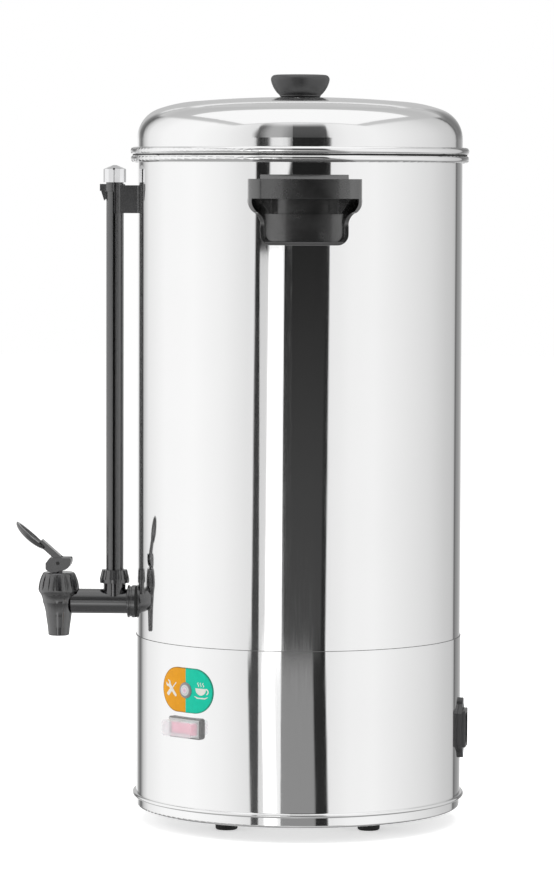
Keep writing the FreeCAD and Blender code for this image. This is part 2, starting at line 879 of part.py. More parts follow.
def make_foot_screw(name):
    return turned_body(name, [
        ("0", "foot_recess_depth - foot_head_height"),
        ("foot_head_radius", "foot_recess_depth - foot_head_height"),
        ("foot_head_radius", "foot_recess_depth"),
        ("foot_screw_radius", "foot_recess_depth"),
        ("foot_screw_radius", "foot_screw_end"),
        ("0", "foot_screw_end"),
    ])


def make_foot_nut(name):
    return hexagon(name, "foot_nut_across", "pan_floor", "pan_floor + foot_nut_height",
                   "foot_screw_radius + slip_fit / 2")


def make_tie_rod(name):
    return upright(name, "rod_radius", "pan_bottom - rod_nut_height - rod_tail", "floor_under")


def make_tie_nut(name):
    return hexagon(name, "rod_nut_across", "pan_bottom - rod_nut_height", "pan_bottom",
                   "rod_radius + slip_fit / 2")


def on_circle(name, make, circle, count, first, label):
    """A ring of upright parts, all in one node."""
    node(grouped(name, [out_on_circle(make(f"{name}{index}"), circle, azimuth)
                        for index, azimuth in enumerate(around(count, first))]), label)


def make_base():
    make_support_ring()
    make_skirt()
    make_pan()
    on_circle("Feet", make_foot, "foot_circle", "foot_count", "foot_azimuth", "rubber_feet")
    on_circle("FootScrews", make_foot_screw, "foot_circle", "foot_count", "foot_azimuth", "foot_screws")
    on_circle("FootNuts", make_foot_nut, "foot_circle", "foot_count", "foot_azimuth", "foot_nuts")
    on_circle("TieRods", make_tie_rod, "rod_circle", "rod_count", "rod_azimuth", "tie_rods")
    on_circle("TieNuts", make_tie_nut, "rod_circle", "rod_count", "rod_azimuth", "tie_nuts")


# Handles: a mounting plate with webs at its sides that carry a hollow grip, open for the fingers
# below and in front

def handle_envelope(name, inset, top, bottom):
    """The handle's outer form, or with an inset the hollow inside it. It is what three
    outlines share: from the front, from the side and from above."""
    half_plate = f"(plate_width / 2 - {inset})"
    half_grip = f"(grip_width / 2 - {inset})"
    flare = "((grip_width - plate_width) / 4)"
    bend = f"({flare} + (grip_bottom - web_foot) ^ 2 / 16 / {flare})"
    middle = "((grip_bottom + web_foot) / 2)"
    side = f"({half_plate} + {flare})"
    front = padded_body(name + "Front", "YZ_Plane", [
        (f"-{half_plate} + plate_corner - {inset}", bottom, f"plate_corner - {inset}"),
        (f"{half_plate} - plate_corner + {inset}", bottom),
        (half_plate, f"{bottom} + plate_corner - {inset}", f"plate_corner - {inset}"),
        (half_plate, "web_foot"),
        (side, middle, f"-{bend}"),
        (half_grip, "grip_bottom", bend),
        (half_grip, top),
        (f"-{half_grip}", top),
        (f"-{half_grip}", "grip_bottom"),
        (f"-{side}", middle, bend),
        (f"-{half_plate}", "web_foot", f"-{bend}"),
        (f"-{half_plate}", f"{bottom} + plate_corner - {inset}"),
    ], "vessel_radius - 20", "grip_face + 5")
    reach = f"(grip_face - {inset})"
    corner = f"(grip_corner - {inset})"
    across = f"({half_grip} - {corner})"
    out = f"sqrt(({reach} - {corner}) ^ 2 - {across} ^ 2)"
    share = f"{reach} / ({reach} - {corner})"
    above = padded_body(name + "Above", "XY_Plane", [
        ("vessel_radius - 20", f"-{half_grip} - 2"),
        (out, f"-{half_grip} - 2"),
        (out, f"-{half_grip}"),
        (f"{out} * {share}", f"-{across} * {share}", corner),
        (f"{out} * {share}", f"{across} * {share}", reach),
        (out, half_grip, corner),
        (out, f"{half_grip} + 2"),
        ("vessel_radius - 20", f"{half_grip} + 2"),
    ], f"{bottom} - 5", f"{top} + 5")
    return front, above


def make_handle(name, label, azimuth):
    front, above = handle_envelope(name, "0", "grip_top", "0")
    rise = "(grip_bottom - web_foot)"
    run = "(grip_face - plate_face)"
    bend = f"(({rise} ^ 2 + {run} ^ 2) / 4 / {run})"
    profile = padded_body(name + "Side", "XZ_Plane", [
        ("vessel_radius - 20", "0"),
        ("plate_face - 3", "0"),
        ("plate_face", "3", "3"),
        ("plate_face", "web_foot"),
        (f"plate_face + {run} / 2", f"web_foot + {rise} / 2", f"-{bend}"),
        ("grip_face", "grip_bottom", bend),
        ("grip_face", "grip_top"),
        ("vessel_radius - 20", "grip_top"),
    ], "-grip_width", "grip_width")
    form = shared(name + "Form", front, above, profile)
    inner_front, inner_above = handle_envelope(
        name + "Hollow", "web_wall", "grip_top - grip_wall", "web_wall")
    wide = ("-grip_width", "grip_width")
    below = brick(name + "Below", ("0", "grip_face + 5"), wide, ("0", "grip_bottom"))
    hollow = shared(name + "Hollow", inner_front, joined(name + "Inside", inner_above, below))
    belly = upright(name + "Belly", "plate_face - 1", "0", "belly_top")
    plate = upright(name + "Plate", "plate_face - recess_depth", "0", "plate_top")
    opening = cut(name + "Opening", hollow, belly, plate)
    backing = padded_body(name + "Backing", "XZ_Plane", [
        ("vessel_radius - 20", "grip_top - 1"),
        ("plate_face - 2", "grip_top - 1"),
        ("plate_face - 2", "grip_top"),
        ("plate_face - 2 - plate_top + grip_top", "plate_top"),
        ("vessel_radius - 20", "plate_top"),
    ], "-plate_width / 2", "plate_width / 2")
    roof = "grip_top - grip_wall + 0.5"
    ribs = [padded_body(f"{name}Rib{side}", "YZ_Plane", [
        (f"{sign} * rib_spread / 2", "belly_top"),
        (f"{sign} * (rib_spread / 2 + 1.5)", "belly_top"),
        (f"{sign} * (rib_spread / 2 + rib_width)", "grip_bottom"),
        (f"{sign} * (rib_spread / 2 + rib_width)", roof),
        (f"{sign} * rib_spread / 2", roof),
    ], "vessel_radius - 5", "(plate_face + grip_face) / 2")
        for side, sign in (("Left", -1), ("Right", 1))]
    shell = cut(name + "Shell", form, opening)
    whole = joined(name + "Whole", shell, backing, *ribs)
    screw_holes = [outward(f"{name}ScrewHole{side}", "handle_screw_radius + slip_fit / 2",
                           "vessel_radius - 20", "vessel_radius + handle_screw_depth + 0.5",
                           y=f"{sign} * handle_screw_spread / 2", z="handle_screw_height")
                   for side, sign in (("Left", -1), ("Right", 1))]
    skin = upright(name + "Skin", "vessel_radius + slip_fit", "-5", "plate_top + 5")
    node(put(cut(name, whole, skin, *screw_holes), z="plate_bottom", turn=azimuth), label)


def make_handle_screw(name, y):
    shank = outward(name + "Shank", "handle_screw_radius", "handle_head_seat - 0.5",
                    "vessel_radius + handle_screw_depth", y=y, z="handle_screw_level")
    head = outward(name + "Head", "handle_head_radius", "handle_head_seat - handle_head_height",
                   "handle_head_seat", y=y, z="handle_screw_level")
    return joined(name, shank, head)


def make_handle_washer(name, y):
    disc = outward(name + "Disc", "handle_washer_radius", "handle_head_seat", "vessel_radius",
                   y=y, z="handle_screw_level")
    wall = upright(name + "Wall", "vessel_bore - slip_fit", "handle_screw_level - 20",
                   "handle_screw_level + 20")
    hole = outward(name + "Hole", "handle_screw_radius + slip_fit", "handle_head_seat - 1",
                   "vessel_radius + 1", y=y, z="handle_screw_level")
    return cut(name, shared(name + "Blank", disc, wall), hole)


def make_handles():
    sides = {"handle_right": "handle_azimuth", "handle_left": "handle_azimuth + 180"}
    for label, azimuth in sides.items():
        make_handle(label.title().replace("_", ""), label, azimuth)
    for make, label in ((make_handle_screw, "handle_screws"), (make_handle_washer, "handle_washers")):
        name = label.title().replace("_", "")

        def pair(pair_name, make=make):
            return grouped(pair_name, [
                make(pair_name + side, f"{sign} * handle_screw_spread / 2")
                for side, sign in (("Low", -1), ("High", 1))])
        node(copies_around(name, pair, list(sides.values())), label)


# Tap: shank, gaskets and nut, body, bonnet, stem, spring and lever

def in_wall(part):
    """Places a part on the shank's axis, with its +X side outward."""
    return put(part, z="tap_level", turn="tap_azimuth")


def over_spout(part, height="tap_level"):
    """Places a part on the tap body's upright axis, with its +X side outward."""
    return put(part, x="spout_axis * cos(tap_azimuth)", y="spout_axis * sin(tap_azimuth)",
               z=height, turn="tap_azimuth")


def tap_body_side(grow):
    """The tap body's side from the spout's mouth up to the shoulder under the bonnet."""
    return [
        (f"spout_radius + {grow}", "spout_bottom + 0.6"),
        (f"spout_radius + 0.6 + {grow}", "spout_bottom + 7"),
        (f"(spout_radius + body_waist) / 2 - 0.4 + {grow}", "spout_bottom + 16"),
        (f"body_waist + {grow}", "-1", "-40"),
        (f"body_shoulder + {grow}", "body_shoulder_height - 0.4", "-16"),
        (f"body_shoulder + {grow}", "body_shoulder_height"),
    ]


def make_tap_shank():
    round_part = turned_body("ShankTurned", [
        ("tail_end", "shank_bore"),
        ("spout_axis - body_neck_radius + 1.5", "shank_bore"),
        ("spout_axis - body_neck_radius + 1.5", "barrel_radius"),
        ("flange_end", "barrel_radius"),
        ("flange_end - 0.8", "flange_radius"),
        ("flange_end - 2.2", "flange_radius"),
        ("flange_end - 2.6", "flange_groove"),
        ("flange_end - 4", "flange_groove"),
        ("flange_end - 4.4", "flange_radius"),
        ("flange_start", "flange_radius"),
        ("flange_start", "shank_thread"),
        ("tail_end", "shank_thread"),
    ], "H_Axis")
    boss = upright("GaugeBoss", "boss_radius", "0", "boss_top", x="gauge_axis")
    gland = upright("GaugeGland", "gland_radius", "boss_top - 1", "gland_top", x="gauge_axis")
    socket = upright("GaugeSocket", "gland_bore", "glass_foot - slip_fit", "gland_top + 1", x="gauge_axis")
    feed = upright("GaugeFeed", "glass_radius - glass_wall", "0", "glass_foot", x="gauge_axis")
    bore = outward("ShankBore", "shank_bore", "tail_end - 1", "spout_axis")
    seat = turned_body("BodySeat", [("0", "spout_bottom - 1"), ("spout_radius", "spout_bottom - 1")]
                       + tap_body_side("slip_fit") + [
        ("bonnet_radius + loose_gap", "body_shoulder_height"),
        ("bonnet_radius + loose_gap", "bonnet_top"),
        ("0", "bonnet_top"),
    ])
    put(seat, x="spout_axis")
    blank = joined("ShankBlank", round_part, boss, gland)
    node(in_wall(cut("TapShank", blank, socket, feed, bore, seat)), "tap_shank")


def saddle_ring(name, bore, radius, start, end, curve, outside):
    """A ring along X with one face that follows a cylinder about the body's axis."""
    disc = outward(name + "Disc", radius, start, end)
    hole = outward(name + "Hole", bore, f"{start} - 2", f"{end} + 2")
    wall = upright(name + "Wall", curve, "-30", "30")
    if outside:
        return cut(name, disc, hole, wall)
    return cut(name, shared(name + "Blank", disc, wall), hole)


def make_shank_fittings():
    bore = "shank_thread + slip_fit"
    outer = saddle_ring("TapGasket", bore, "flange_radius - 0.4", "vessel_bore - 3",
                        "flange_start", "vessel_radius + slip_fit", True)
    node(in_wall(outer), "tap_gasket")
    depth = "shank_washer_depth"
    inner = saddle_ring("ShankWasher", bore, "shank_washer_radius", f"vessel_bore - {depth}",
                        "vessel_bore", "vessel_bore - slip_fit", False)
    node(in_wall(inner), "shank_washer")
    nut = outward_hexagon("ShankNut", "shank_nut_across", f"vessel_bore - {depth} - shank_nut_depth",
                          f"vessel_bore - {depth}", bore)
    node(in_wall(nut), "shank_nut")


def make_tap_body():
    blank = turned_body("TapBodyTurned", [
        ("spout_bore", "spout_bottom"),
        ("spout_radius - 0.6", "spout_bottom"),
    ] + tap_body_side("0") + [
        ("body_neck_radius", "body_shoulder_height"),
        ("body_neck_radius", "neck_top"),
        ("chamber_radius", "neck_top"),
        ("chamber_radius", "seat_height"),
        ("spout_bore", "seat_height"),
    ])
    port = outward("BodyPort", "shank_bore", "-body_shoulder - 5", "0")
    node(over_spout(cut("TapBody", blank, port)), "tap_body")


def make_bonnet():
    bulge = "bonnet_bulge_height"
    foot = "body_shoulder_height + slip_fit"
    blank = turned_body("BonnetTurned", [
        ("body_neck_radius + slip_fit", foot),
        ("body_shoulder + 0.3", foot),
        ("bonnet_radius", bulge, "6"),
        ("bonnet_crown + 1.6", "bonnet_top - 1.4", "30"),
        ("bonnet_crown", "bonnet_top", "2.2"),
        ("stem_radius + shaft_fit", "bonnet_top"),
        ("stem_radius + shaft_fit", "bonnet_ceiling"),
        ("body_neck_radius + slip_fit", "bonnet_ceiling"),
    ])
    crown_level = "bonnet_top - 1.4"

    def flute(name):
        return padded_body(name, "XZ_Plane", [
            ("bonnet_radius - flute_depth", bulge),
            ("bonnet_radius + 1", bulge),
            ("bonnet_radius + 1", crown_level),
            ("bonnet_crown + 1.6 - flute_depth", crown_level),
        ], "-flute_width / 2", "flute_width / 2")
    flutes = copies_around("Flute", flute, around("bonnet_flutes", "0"))
    node(over_spout(cut("Bonnet", blank, flutes)), "tap_bonnet")


def make_stem():
    rod = upright("StemRod", "stem_radius", "cup_bottom + cup_lip", "pin_height - 2")
    collar = upright("StemCollar", "spring_radius + spring_wire + 0.6", "cup_top", "cup_top + 1")
    eye = brick("StemEye", ("-eye_depth / 2", "eye_depth / 2"), ("-eye_width / 2", "eye_width / 2"),
                ("bonnet_top + 1", "pin_height + eye_depth / 2"))
    hole = sideways("StemHole", "pin_radius + shaft_fit", "-eye_width", "eye_width", z="pin_height")
    node(over_spout(cut("TapStem", joined("StemBlank", rod, collar, eye), hole)), "tap_stem")
    node(over_spout(turned_body("SeatCup", [
        ("0", "cup_bottom"),
        ("cup_radius - 0.8", "cup_bottom"),
        ("cup_radius", "cup_bottom + 0.8"),
        ("cup_radius", "cup_bottom + 2.5"),
        ("spring_radius", "cup_top"),
        ("stem_radius + slip_fit", "cup_top"),
        ("stem_radius + slip_fit", "cup_bottom + cup_lip"),
        ("0", "cup_bottom + cup_lip"),
    ])), "seat_cup")


def make_spring():
    """A helix of wire between the stem's collar and the bonnet's roof, in quarter turns."""
    wire, radius, turns = value("spring_wire"), value("spring_radius"), value("spring_turns")
    low = value("cup_top") + 1 + wire + value("slip_fit")
    high = value("bonnet_ceiling") - wire - value("slip_fit")
    steps = round(turns * 4)

    def at(quarter):
        angle = quarter * math.pi / 2
        return FreeCAD.Vector(radius * math.cos(angle), radius * math.sin(angle),
                              low + (high - low) * quarter / steps)
    edges = [Part.Arc(at(step), at(step + 0.5), at(step + 1)).toShape() for step in range(steps)]
    path = Part.Wire(edges)
    along = edges[0].tangentAt(edges[0].FirstParameter)
    section = Part.Wire(Part.Circle(at(0), along, wire).toShape())
    part = doc.addObject("Part::Feature", "TapSpring")
    part.Shape = path.makePipeShell([section], True, False)
    node(over_spout(part), "tap_spring")


def make_lever():
    """The lever about its pin: X outward, Z up, the pin along Y. The cam below the pin is a
    circle set off from it, so that the pin rises as the lever goes down."""
    half = "lever_width / 2"
    cam = sideways("LeverCam", "cam_radius", f"-{half}", half, x="cam_throw * cos(cam_phase)",
                   z="cam_throw * sin(cam_phase)")
    heel = sideways("LeverHeel", "hub_back - 3", f"-{half}", half, x="-3", z="2")
    low = "-(pin_height - bonnet_top - cam_gap)"
    bounds = padded_body("LeverBounds", "XZ_Plane", [
        ("-hub_back", low),
        ("hub_front", low),
        ("hub_front", "0"),
        ("hub_front - 3.5", "hub_top"),
        ("-hub_back", "hub_top"),
    ], f"-{half}", half)
    hub = shared("LeverHub", joined("LeverHubBlank", cam, heel), bounds)
    neck = brick("LeverNeck", ("-4", "paddle_centre - paddle_length / 4"),
                 ("-neck_width / 2", "neck_width / 2"),
                 ("neck_offset - neck_wall / 2", "neck_offset + neck_wall / 2"))
    bowl = doc.addObject("Part::Ellipsoid", "PaddleBowl")
    dish = doc.addObject("Part::Ellipsoid", "PaddleDish")
    for part, size in ((bowl, "paddle"), (dish, "dish")):
        bind(part, "Radius2", f"{size}_length / 2")
        bind(part, "Radius3", f"{size}_width / 2")
        bind(part, "Radius1", f"{size}_depth")
        part.Angle1 = -90
        part.Angle2 = 90
        put(part, x="paddle_centre", z="paddle_rim + neck_offset - neck_wall / 2")
    flat = brick("PaddleTop", ("0", "paddle_centre + paddle_length"),
                 ("-paddle_width", "paddle_width"),
                 ("paddle_rim + neck_offset - neck_wall / 2", "paddle_rim + neck_offset + 20"))
    paddle = cut("Paddle", bowl, dish, flat)
    arm = put(joined("LeverArm", neck, paddle), axis=(0, 1, 0), turn="-lever_angle")
    slot = brick("LeverSlot", ("-hub_back - 2", "hub_front + 5"),
                 ("-eye_width / 2 - loose_gap", "eye_width / 2 + loose_gap"),
                 ("-pin_height", "eye_depth * 0.8"))
    bore = sideways("LeverBore", "pin_radius + slip_fit / 2", "-lever_width", "lever_width")
    lever = cut("TapLever", joined("LeverBlank", hub, arm), slot, bore)
    node(over_spout(lever, "tap_level + pin_height"), "tap_lever")
    pin = sideways("PinRod", "pin_radius", f"-{half}", half)
    node(over_spout(grouped("LeverPin", [pin]), "tap_level + pin_height"), "lever_pin")


def make_tap():
    make_tap_shank()
    make_shank_fittings()
    make_tap_body()
    make_bonnet()
    make_stem()
    make_spring()
    make_lever()


# Level gauge: glass tube in a slotted guard, with a gland nut below and a capped bracket above

def at_gauge(part, height="0"):
    """Places a part on the gauge's axis, with its +X side outward."""
    return put(part, x="gauge_axis * cos(tap_azimuth)", y="gauge_axis * sin(tap_azimuth)",
               z=height, turn="tap_azimuth")


def make_gauge_nut():
    blank = turned_body("GaugeNutTurned", [
        ("gland_radius + slip_fit", "boss_top + slip_fit"),
        ("gauge_nut_base", "boss_top + slip_fit"),
        ("gauge_nut_base", "boss_top + 3"),
        ("gauge_nut_crown", "gauge_nut_top"),
        ("gland_bore + slip_fit", "gauge_nut_top"),
        ("gland_bore + slip_fit", "gauge_nut_top - gauge_nut_lip"),
        ("gland_radius + slip_fit", "gauge_nut_top - gauge_nut_lip"),
    ])

    def groove(name):
        return padded_body(name, "XZ_Plane", [
            ("gauge_nut_base - knurl_depth", "boss_top + 3"),
            ("gauge_nut_base + 1", "boss_top + 3"),
            ("gauge_nut_base + 1", "gauge_nut_top + 1"),
            ("gauge_nut_crown - knurl_depth", "gauge_nut_top + 1"),
        ], "-knurl_width / 2", "knurl_width / 2")
    grooves = copies_around("NutGroove", groove, around("knurl_count", "0"))
    node(at_gauge(cut("GaugeNut", blank, grooves), "tap_level"), "gauge_nut")


def make_gauge():
    make_gauge_nut()
    node(at_gauge(turned_body("GaugeSeal", [
        ("gland_bore", "gland_top"),
        ("gland_radius - slip_fit", "gland_top"),
        ("gland_radius - slip_fit", "gland_top + seal_height"),
        ("gland_bore", "gland_top + seal_height"),
    ]), "tap_level"), "gauge_seal")
    node(at_gauge(turned_body("GaugeGlass", [
        ("glass_radius - glass_wall", "tap_level + glass_foot"),
        ("glass_radius", "tap_level + glass_foot"),
        ("glass_radius", "gauge_top"),
        ("glass_radius - glass_wall", "gauge_top"),
    ])), "gauge_glass")
    tube = turned_body("GuardTube", [
        ("guard_radius - guard_wall", "guard_foot"),
        ("guard_radius", "guard_foot"),
        ("guard_radius", "guard_top"),
        ("guard_radius - guard_wall", "guard_top"),
    ])
    height = ("guard_foot - 1", "guard_top + 1")
    slot = brick("GuardSlot", ("0", "guard_radius + 1"), ("-guard_slot / 2", "guard_slot / 2"), height)
    grooves = [brick(f"GuardGroove{side}", ("-groove_width / 2", "groove_width / 2"), span, height)
               for side, span in (("Left", ("-guard_radius - 1", "groove_depth - guard_radius")),
                                  ("Right", ("guard_radius - groove_depth", "guard_radius + 1")))]
    node(at_gauge(cut("GaugeGuard", tube, slot, *grooves)), "gauge_guard")
    make_bracket()
    make_gauge_cap()


def make_bracket():
    ring = upright("BracketRing", "bracket_head", "0", "bracket_top")
    front = brick("BracketFront", ("0", "bracket_head + 1"), ("-bracket_head - 1", "bracket_head + 1"),
                  ("-1", "guard_seat - 0.5"))
    head = cut("BracketHead", ring, front)
    neck = upright("BracketNeck", "bracket_neck", "bracket_top - 1", "bracket_top + bracket_neck_height")
    arm = brick("BracketArm", ("vessel_bore - gauge_axis", "0"),
                ("-bracket_arm / 2", "bracket_arm / 2"), ("0", "bracket_top - 1"))
    tab = padded_body("BracketTab", "XZ_Plane", [
        ("0", "guard_seat"),
        ("bracket_head", "guard_seat - 8"),
        ("tab_reach - 1", "guard_seat"),
        ("tab_reach", "guard_seat"),
        ("tab_reach", "bracket_top"),
        ("0", "bracket_top"),
    ], "-tab_width / 2", "tab_width / 2")
    socket = upright("BracketSocket", "guard_radius + slip_fit", "-1", "guard_seat + slip_fit")
    glass = upright("BracketBore", "gland_bore", "guard_seat - 1", "bracket_top + bracket_neck_height + 1")
    wall = upright("BracketSkin", "vessel_radius + slip_fit", "-5", "bracket_top + 5", x="-gauge_axis")
    start = "(vessel_radius - gauge_axis)"
    screw_hole = outward("BracketScrewHole", "bracket_screw_radius + slip_fit / 2", f"{start} - 5",
                         f"{start} + bracket_screw_depth + 0.5", z="bracket_top / 2")
    blank = joined("BracketBlank", head, neck, arm, tab)
    bracket = cut("GaugeBracket", blank, socket, glass, wall, screw_hole)
    node(at_gauge(bracket, "bracket_bottom"), "gauge_bracket")
    seat = "vessel_bore - 0.3"
    shank = outward("BracketScrewShank", "bracket_screw_radius", f"{seat} - 0.5",
                    "vessel_radius + bracket_screw_depth", z="bracket_middle")
    top = outward("BracketScrewTop", "bracket_screw_head", f"{seat} - bracket_screw_head_height",
                  seat, z="bracket_middle")
    node(put(joined("BracketScrew", shank, top), turn="tap_azimuth"), "gauge_bracket_screw")


def make_gauge_cap():
    bore = "bracket_neck + loose_gap"
    turned = turned_body("CapTurned", [
        (bore, "cap_bottom"),
        ("cap_radius", "cap_bottom"),
        ("cap_radius", "cap_shoulder"),
        ("cap_tip", "cap_top"),
        ("0", "cap_top"),
        ("0", "cap_shoulder - cap_roof"),
        (bore, "cap_shoulder - cap_roof"),
    ])
    facets = doc.addObject("Part::Prism", "CapFacets")
    bind(facets, "Polygon", "cap_facets")
    bind(facets, "Circumradius", "cap_radius * 1.01")
    bind(facets, "Height", "cap_top - cap_bottom")
    put(facets, z="cap_bottom")
    vent = sideways("CapVent", "cap_vent", "0", "cap_radius * 2", z="cap_shoulder - cap_roof / 2 + 1")
    cap = cut("GaugeCap", shared("CapBlank", turned, facets), vent)
    node(at_gauge(cap, "bracket_bottom + bracket_top"), "gauge_cap")


# Control panel: signal plate with a pilot lamp, rocker switch under a clear boot

def make_panel():
    half = "sign_tall / 2"
    flat = "(sign_width / 2 - sign_tall / 2)"
    outline = padded_body("SignOutline", "YZ_Plane", [
        (f"-{flat}", f"sign_height - {half}", half),
        (flat, f"sign_height - {half}"),
        (f"{flat} + {half}", "sign_height", half),
        (flat, f"sign_height + {half}", half),
        (f"-{flat}", f"sign_height + {half}"),
        (f"-{flat} - {half}", "sign_height", half),
    ], "skirt_radius - 15", "skirt_radius + 5", [("0", "sign_height", "lamp_flange + slip_fit * 2")])
    skin = turned_body("SignSkin", [
        ("sign_radius", f"sign_height - {half} - 5"),
        ("sign_radius + sign_wall", f"sign_height - {half} - 5"),
        ("sign_radius + sign_wall", f"sign_height + {half} + 5"),
        ("sign_radius", f"sign_height + {half} + 5"),
    ])
    node(put(shared("ControlPlate", outline, skin), turn="panel_azimuth"), "control_plate")
    body = turned_body("LampBody", [
        ("sign_radius - lamp_depth", "0"),
        ("sign_radius + lamp_flange_depth", "0"),
        ("sign_radius + lamp_flange_depth", "lamp_flange"),
        ("sign_radius", "lamp_flange"),
        ("sign_radius", "lamp_radius"),
        ("sign_radius - lamp_depth", "lamp_radius"),
    ], "H_Axis")
    node(put(body, z="sign_height", turn="panel_azimuth"), "pilot_lamp_body")
    front = "(sign_radius + lamp_flange_depth)"
    lens = turned_body("LampLens", [
        (front, "0"),
        (f"{front} + lamp_dome", "0"),
        (f"{front} + lamp_dome * 0.7", "lamp_flange * 0.6"),
        (f"{front} + 0.3", "lamp_flange - 0.3"),
        (front, "lamp_flange - 0.3"),
    ], "H_Axis")
    node(put(lens, z="sign_height", turn="panel_azimuth"), "pilot_lamp_lens")


def rounded_face(name, width, tall, corner, middle, start, end):
    """A block along X with a rounded rectangle for its face."""
    right, top = f"({width} / 2)", f"({tall} / 2)"
    return padded_body(name, "YZ_Plane", [
        (f"{corner} - {right}", f"{middle} - {top}", corner),
        (f"{right} - {corner}", f"{middle} - {top}"),
        (right, f"{middle} - {top} + {corner}", corner),
        (right, f"{middle} + {top} - {corner}"),
        (f"{right} - {corner}", f"{middle} + {top}", corner),
        (f"{corner} - {right}", f"{middle} + {top}"),
        (f"-{right}", f"{middle} + {top} - {corner}", corner),
        (f"-{right}", f"{middle} - {top} + {corner}"),
    ], start, end)


def make_switch():
    middle = "switch_height"
    outline = ("bezel_width", "bezel_tall", "bezel_corner", middle)
    edge = "bezel_face - bezel_bevel"
    bezel_blank = rounded_face("BezelBlank", *outline, "skirt_radius - 8", edge)
    bezel_front = rounded_face("BezelFront", *outline, edge, "bezel_face")
    doc.getObject("BezelFrontPad").TaperAngle = -45
    skin = upright("BezelSkin", "skirt_radius + slip_fit", f"{middle} - 20", f"{middle} + 20")
    bezel = cut("Bezel", joined("BezelWhole", bezel_blank, bezel_front), skin)
    housing = brick("SwitchBox", ("switch_back", "bezel_face - 0.5"),
                    ("-housing_width / 2", "housing_width / 2"),
                    (f"{middle} - housing_tall / 2", f"{middle} + housing_tall / 2"))
    pocket = brick("SwitchPocket", ("bezel_face - pocket_depth", "bezel_face + 5"),
                   ("-pocket_width / 2", "pocket_width / 2"),
                   (f"{middle} - pocket_tall / 2", f"{middle} + pocket_tall / 2"))
    bearing = upright("SwitchBearing", "trunnion_radius + shaft_fit",
                      f"{middle} - pocket_tall / 2 - trunnion_length",
                      f"{middle} + pocket_tall / 2 + trunnion_length", x="pivot_reach")
    case = cut("SwitchCase", joined("SwitchBlank", bezel, housing), pocket, bearing)
    node(put(case, turn="panel_azimuth"), "switch_housing")
    spread = "housing_width / 3"
    blades = [brick(f"SwitchBlade{index}", ("switch_back - tab_length", "switch_back"),
                    (f"{place} * {spread} - tab_wall / 2", f"{place} * {spread} + tab_wall / 2"),
                    (f"{middle} - tab_height / 2", f"{middle} + tab_height / 2"))
              for index, place in enumerate((-1, 0, 1))]
    node(put(grouped("SwitchTerminals", blades), turn="panel_azimuth"), "switch_terminals")
    make_rocker(middle)
    boot = rounded_face("BootBlank", "boot_width", "boot_tall", "bezel_corner", middle,
                        "bezel_face", "bezel_face + boot_rise")
    inside = rounded_face("BootInside", "(boot_width - 2 * boot_wall)", "(boot_tall - 2 * boot_wall)",
                          "(bezel_corner - boot_wall)", middle, "bezel_face - 1",
                          "bezel_face + boot_rise - boot_wall")
    node(put(cut("SwitchBoot", boot, inside), turn="panel_azimuth"), "switch_boot")


def make_rocker(middle):
    """The rocker about its pivot, at rest with the end at +Y raised. Its two faces meet in a
    shallow V, and its ends are round about the pivot, so that it turns inside its pocket."""
    reach = "(pocket_width / 2 - rocker_play)"
    valley = "(trunnion_depth - rocker_rise)"
    tips = f"({valley} + {reach} * tan(rocker_tilt))"
    blank = padded_body("RockerBlank", "XY_Plane", [
        ("-rocker_body", f"-{reach} / 2"),
        ("0", f"-{reach} - 1"),
        (tips, f"-{reach} - 1"),
        (valley, "0"),
        (tips, f"{reach} + 1"),
        ("0", f"{reach} + 1"),
        ("-rocker_body", f"{reach} / 2"),
    ], "rocker_play - pocket_tall / 2", "pocket_tall / 2 - rocker_play")
    ends = upright("RockerEnds", reach, "-pocket_tall", "pocket_tall")
    pins = upright("RockerPins", "trunnion_radius", "-pocket_tall / 2 - trunnion_length + rocker_play",
                   "pocket_tall / 2 + trunnion_length - rocker_play")
    rocker = joined("RockerWhole", shared("RockerForm", blank, ends), pins)
    tilted = put(grouped("RockerTilted", [rocker]), turn="-rocker_tilt")
    place = put(grouped("SwitchRocker", [tilted]), x="pivot_reach * cos(panel_azimuth)",
                y="pivot_reach * sin(panel_azimuth)", z=middle, turn="panel_azimuth")
    node(place, "switch_rocker")


# Temperature controls held to the vessel's floor by a strap

def make_sensors():
    low = "(floor_under - sensor_height)"

    def control(name, label, y):
        can = upright(name + "Can", "sensor_radius", low, "floor_under", x="sensor_circle", y=y)
        tabs = [brick(f"{name}Tab{side}",
                      (f"sensor_circle + {sign} * sensor_tab - tab_wall / 2",
                       f"sensor_circle + {sign} * sensor_tab + tab_wall / 2"),
                      (f"{y} - tab_height / 2", f"{y} + tab_height / 2"),
                      (f"{low} - tab_length", f"{low} + 1"))
                for side, sign in (("In", -1), ("Out", 1))]
        node(put(joined(name, can, *tabs), turn="sensor_azimuth"), label)
    control("BoilThermostat", "boil_thermostat", "-sensor_spread / 2")
    control("ThermalCutOut", "thermal_cutout", "sensor_spread / 2")
    end = "(sensor_spread / 2 + sensor_radius + 2)"
    strap = padded_body("SensorStrap", "YZ_Plane", [
        (f"-{end} - 9", "floor_under - strap_wall"),
        (f"-{end} - strap_wall", "floor_under - strap_wall"),
        (f"-{end} - strap_wall", f"{low} - strap_wall"),
        (f"{end} + strap_wall", f"{low} - strap_wall"),
        (f"{end} + strap_wall", "floor_under - strap_wall"),
        (f"{end} + 9", "floor_under - strap_wall"),
        (f"{end} + 9", "floor_under"),
        (end, "floor_under"),
        (end, low),
        (f"-{end}", low),
        (f"-{end}", "floor_under"),
        (f"-{end} - 9", "floor_under"),
    ], "sensor_circle - strap_width / 2", "sensor_circle + strap_width / 2")
    node(put(strap, turn="sensor_azimuth"), "sensor_strap")


# Terminal block on the pan

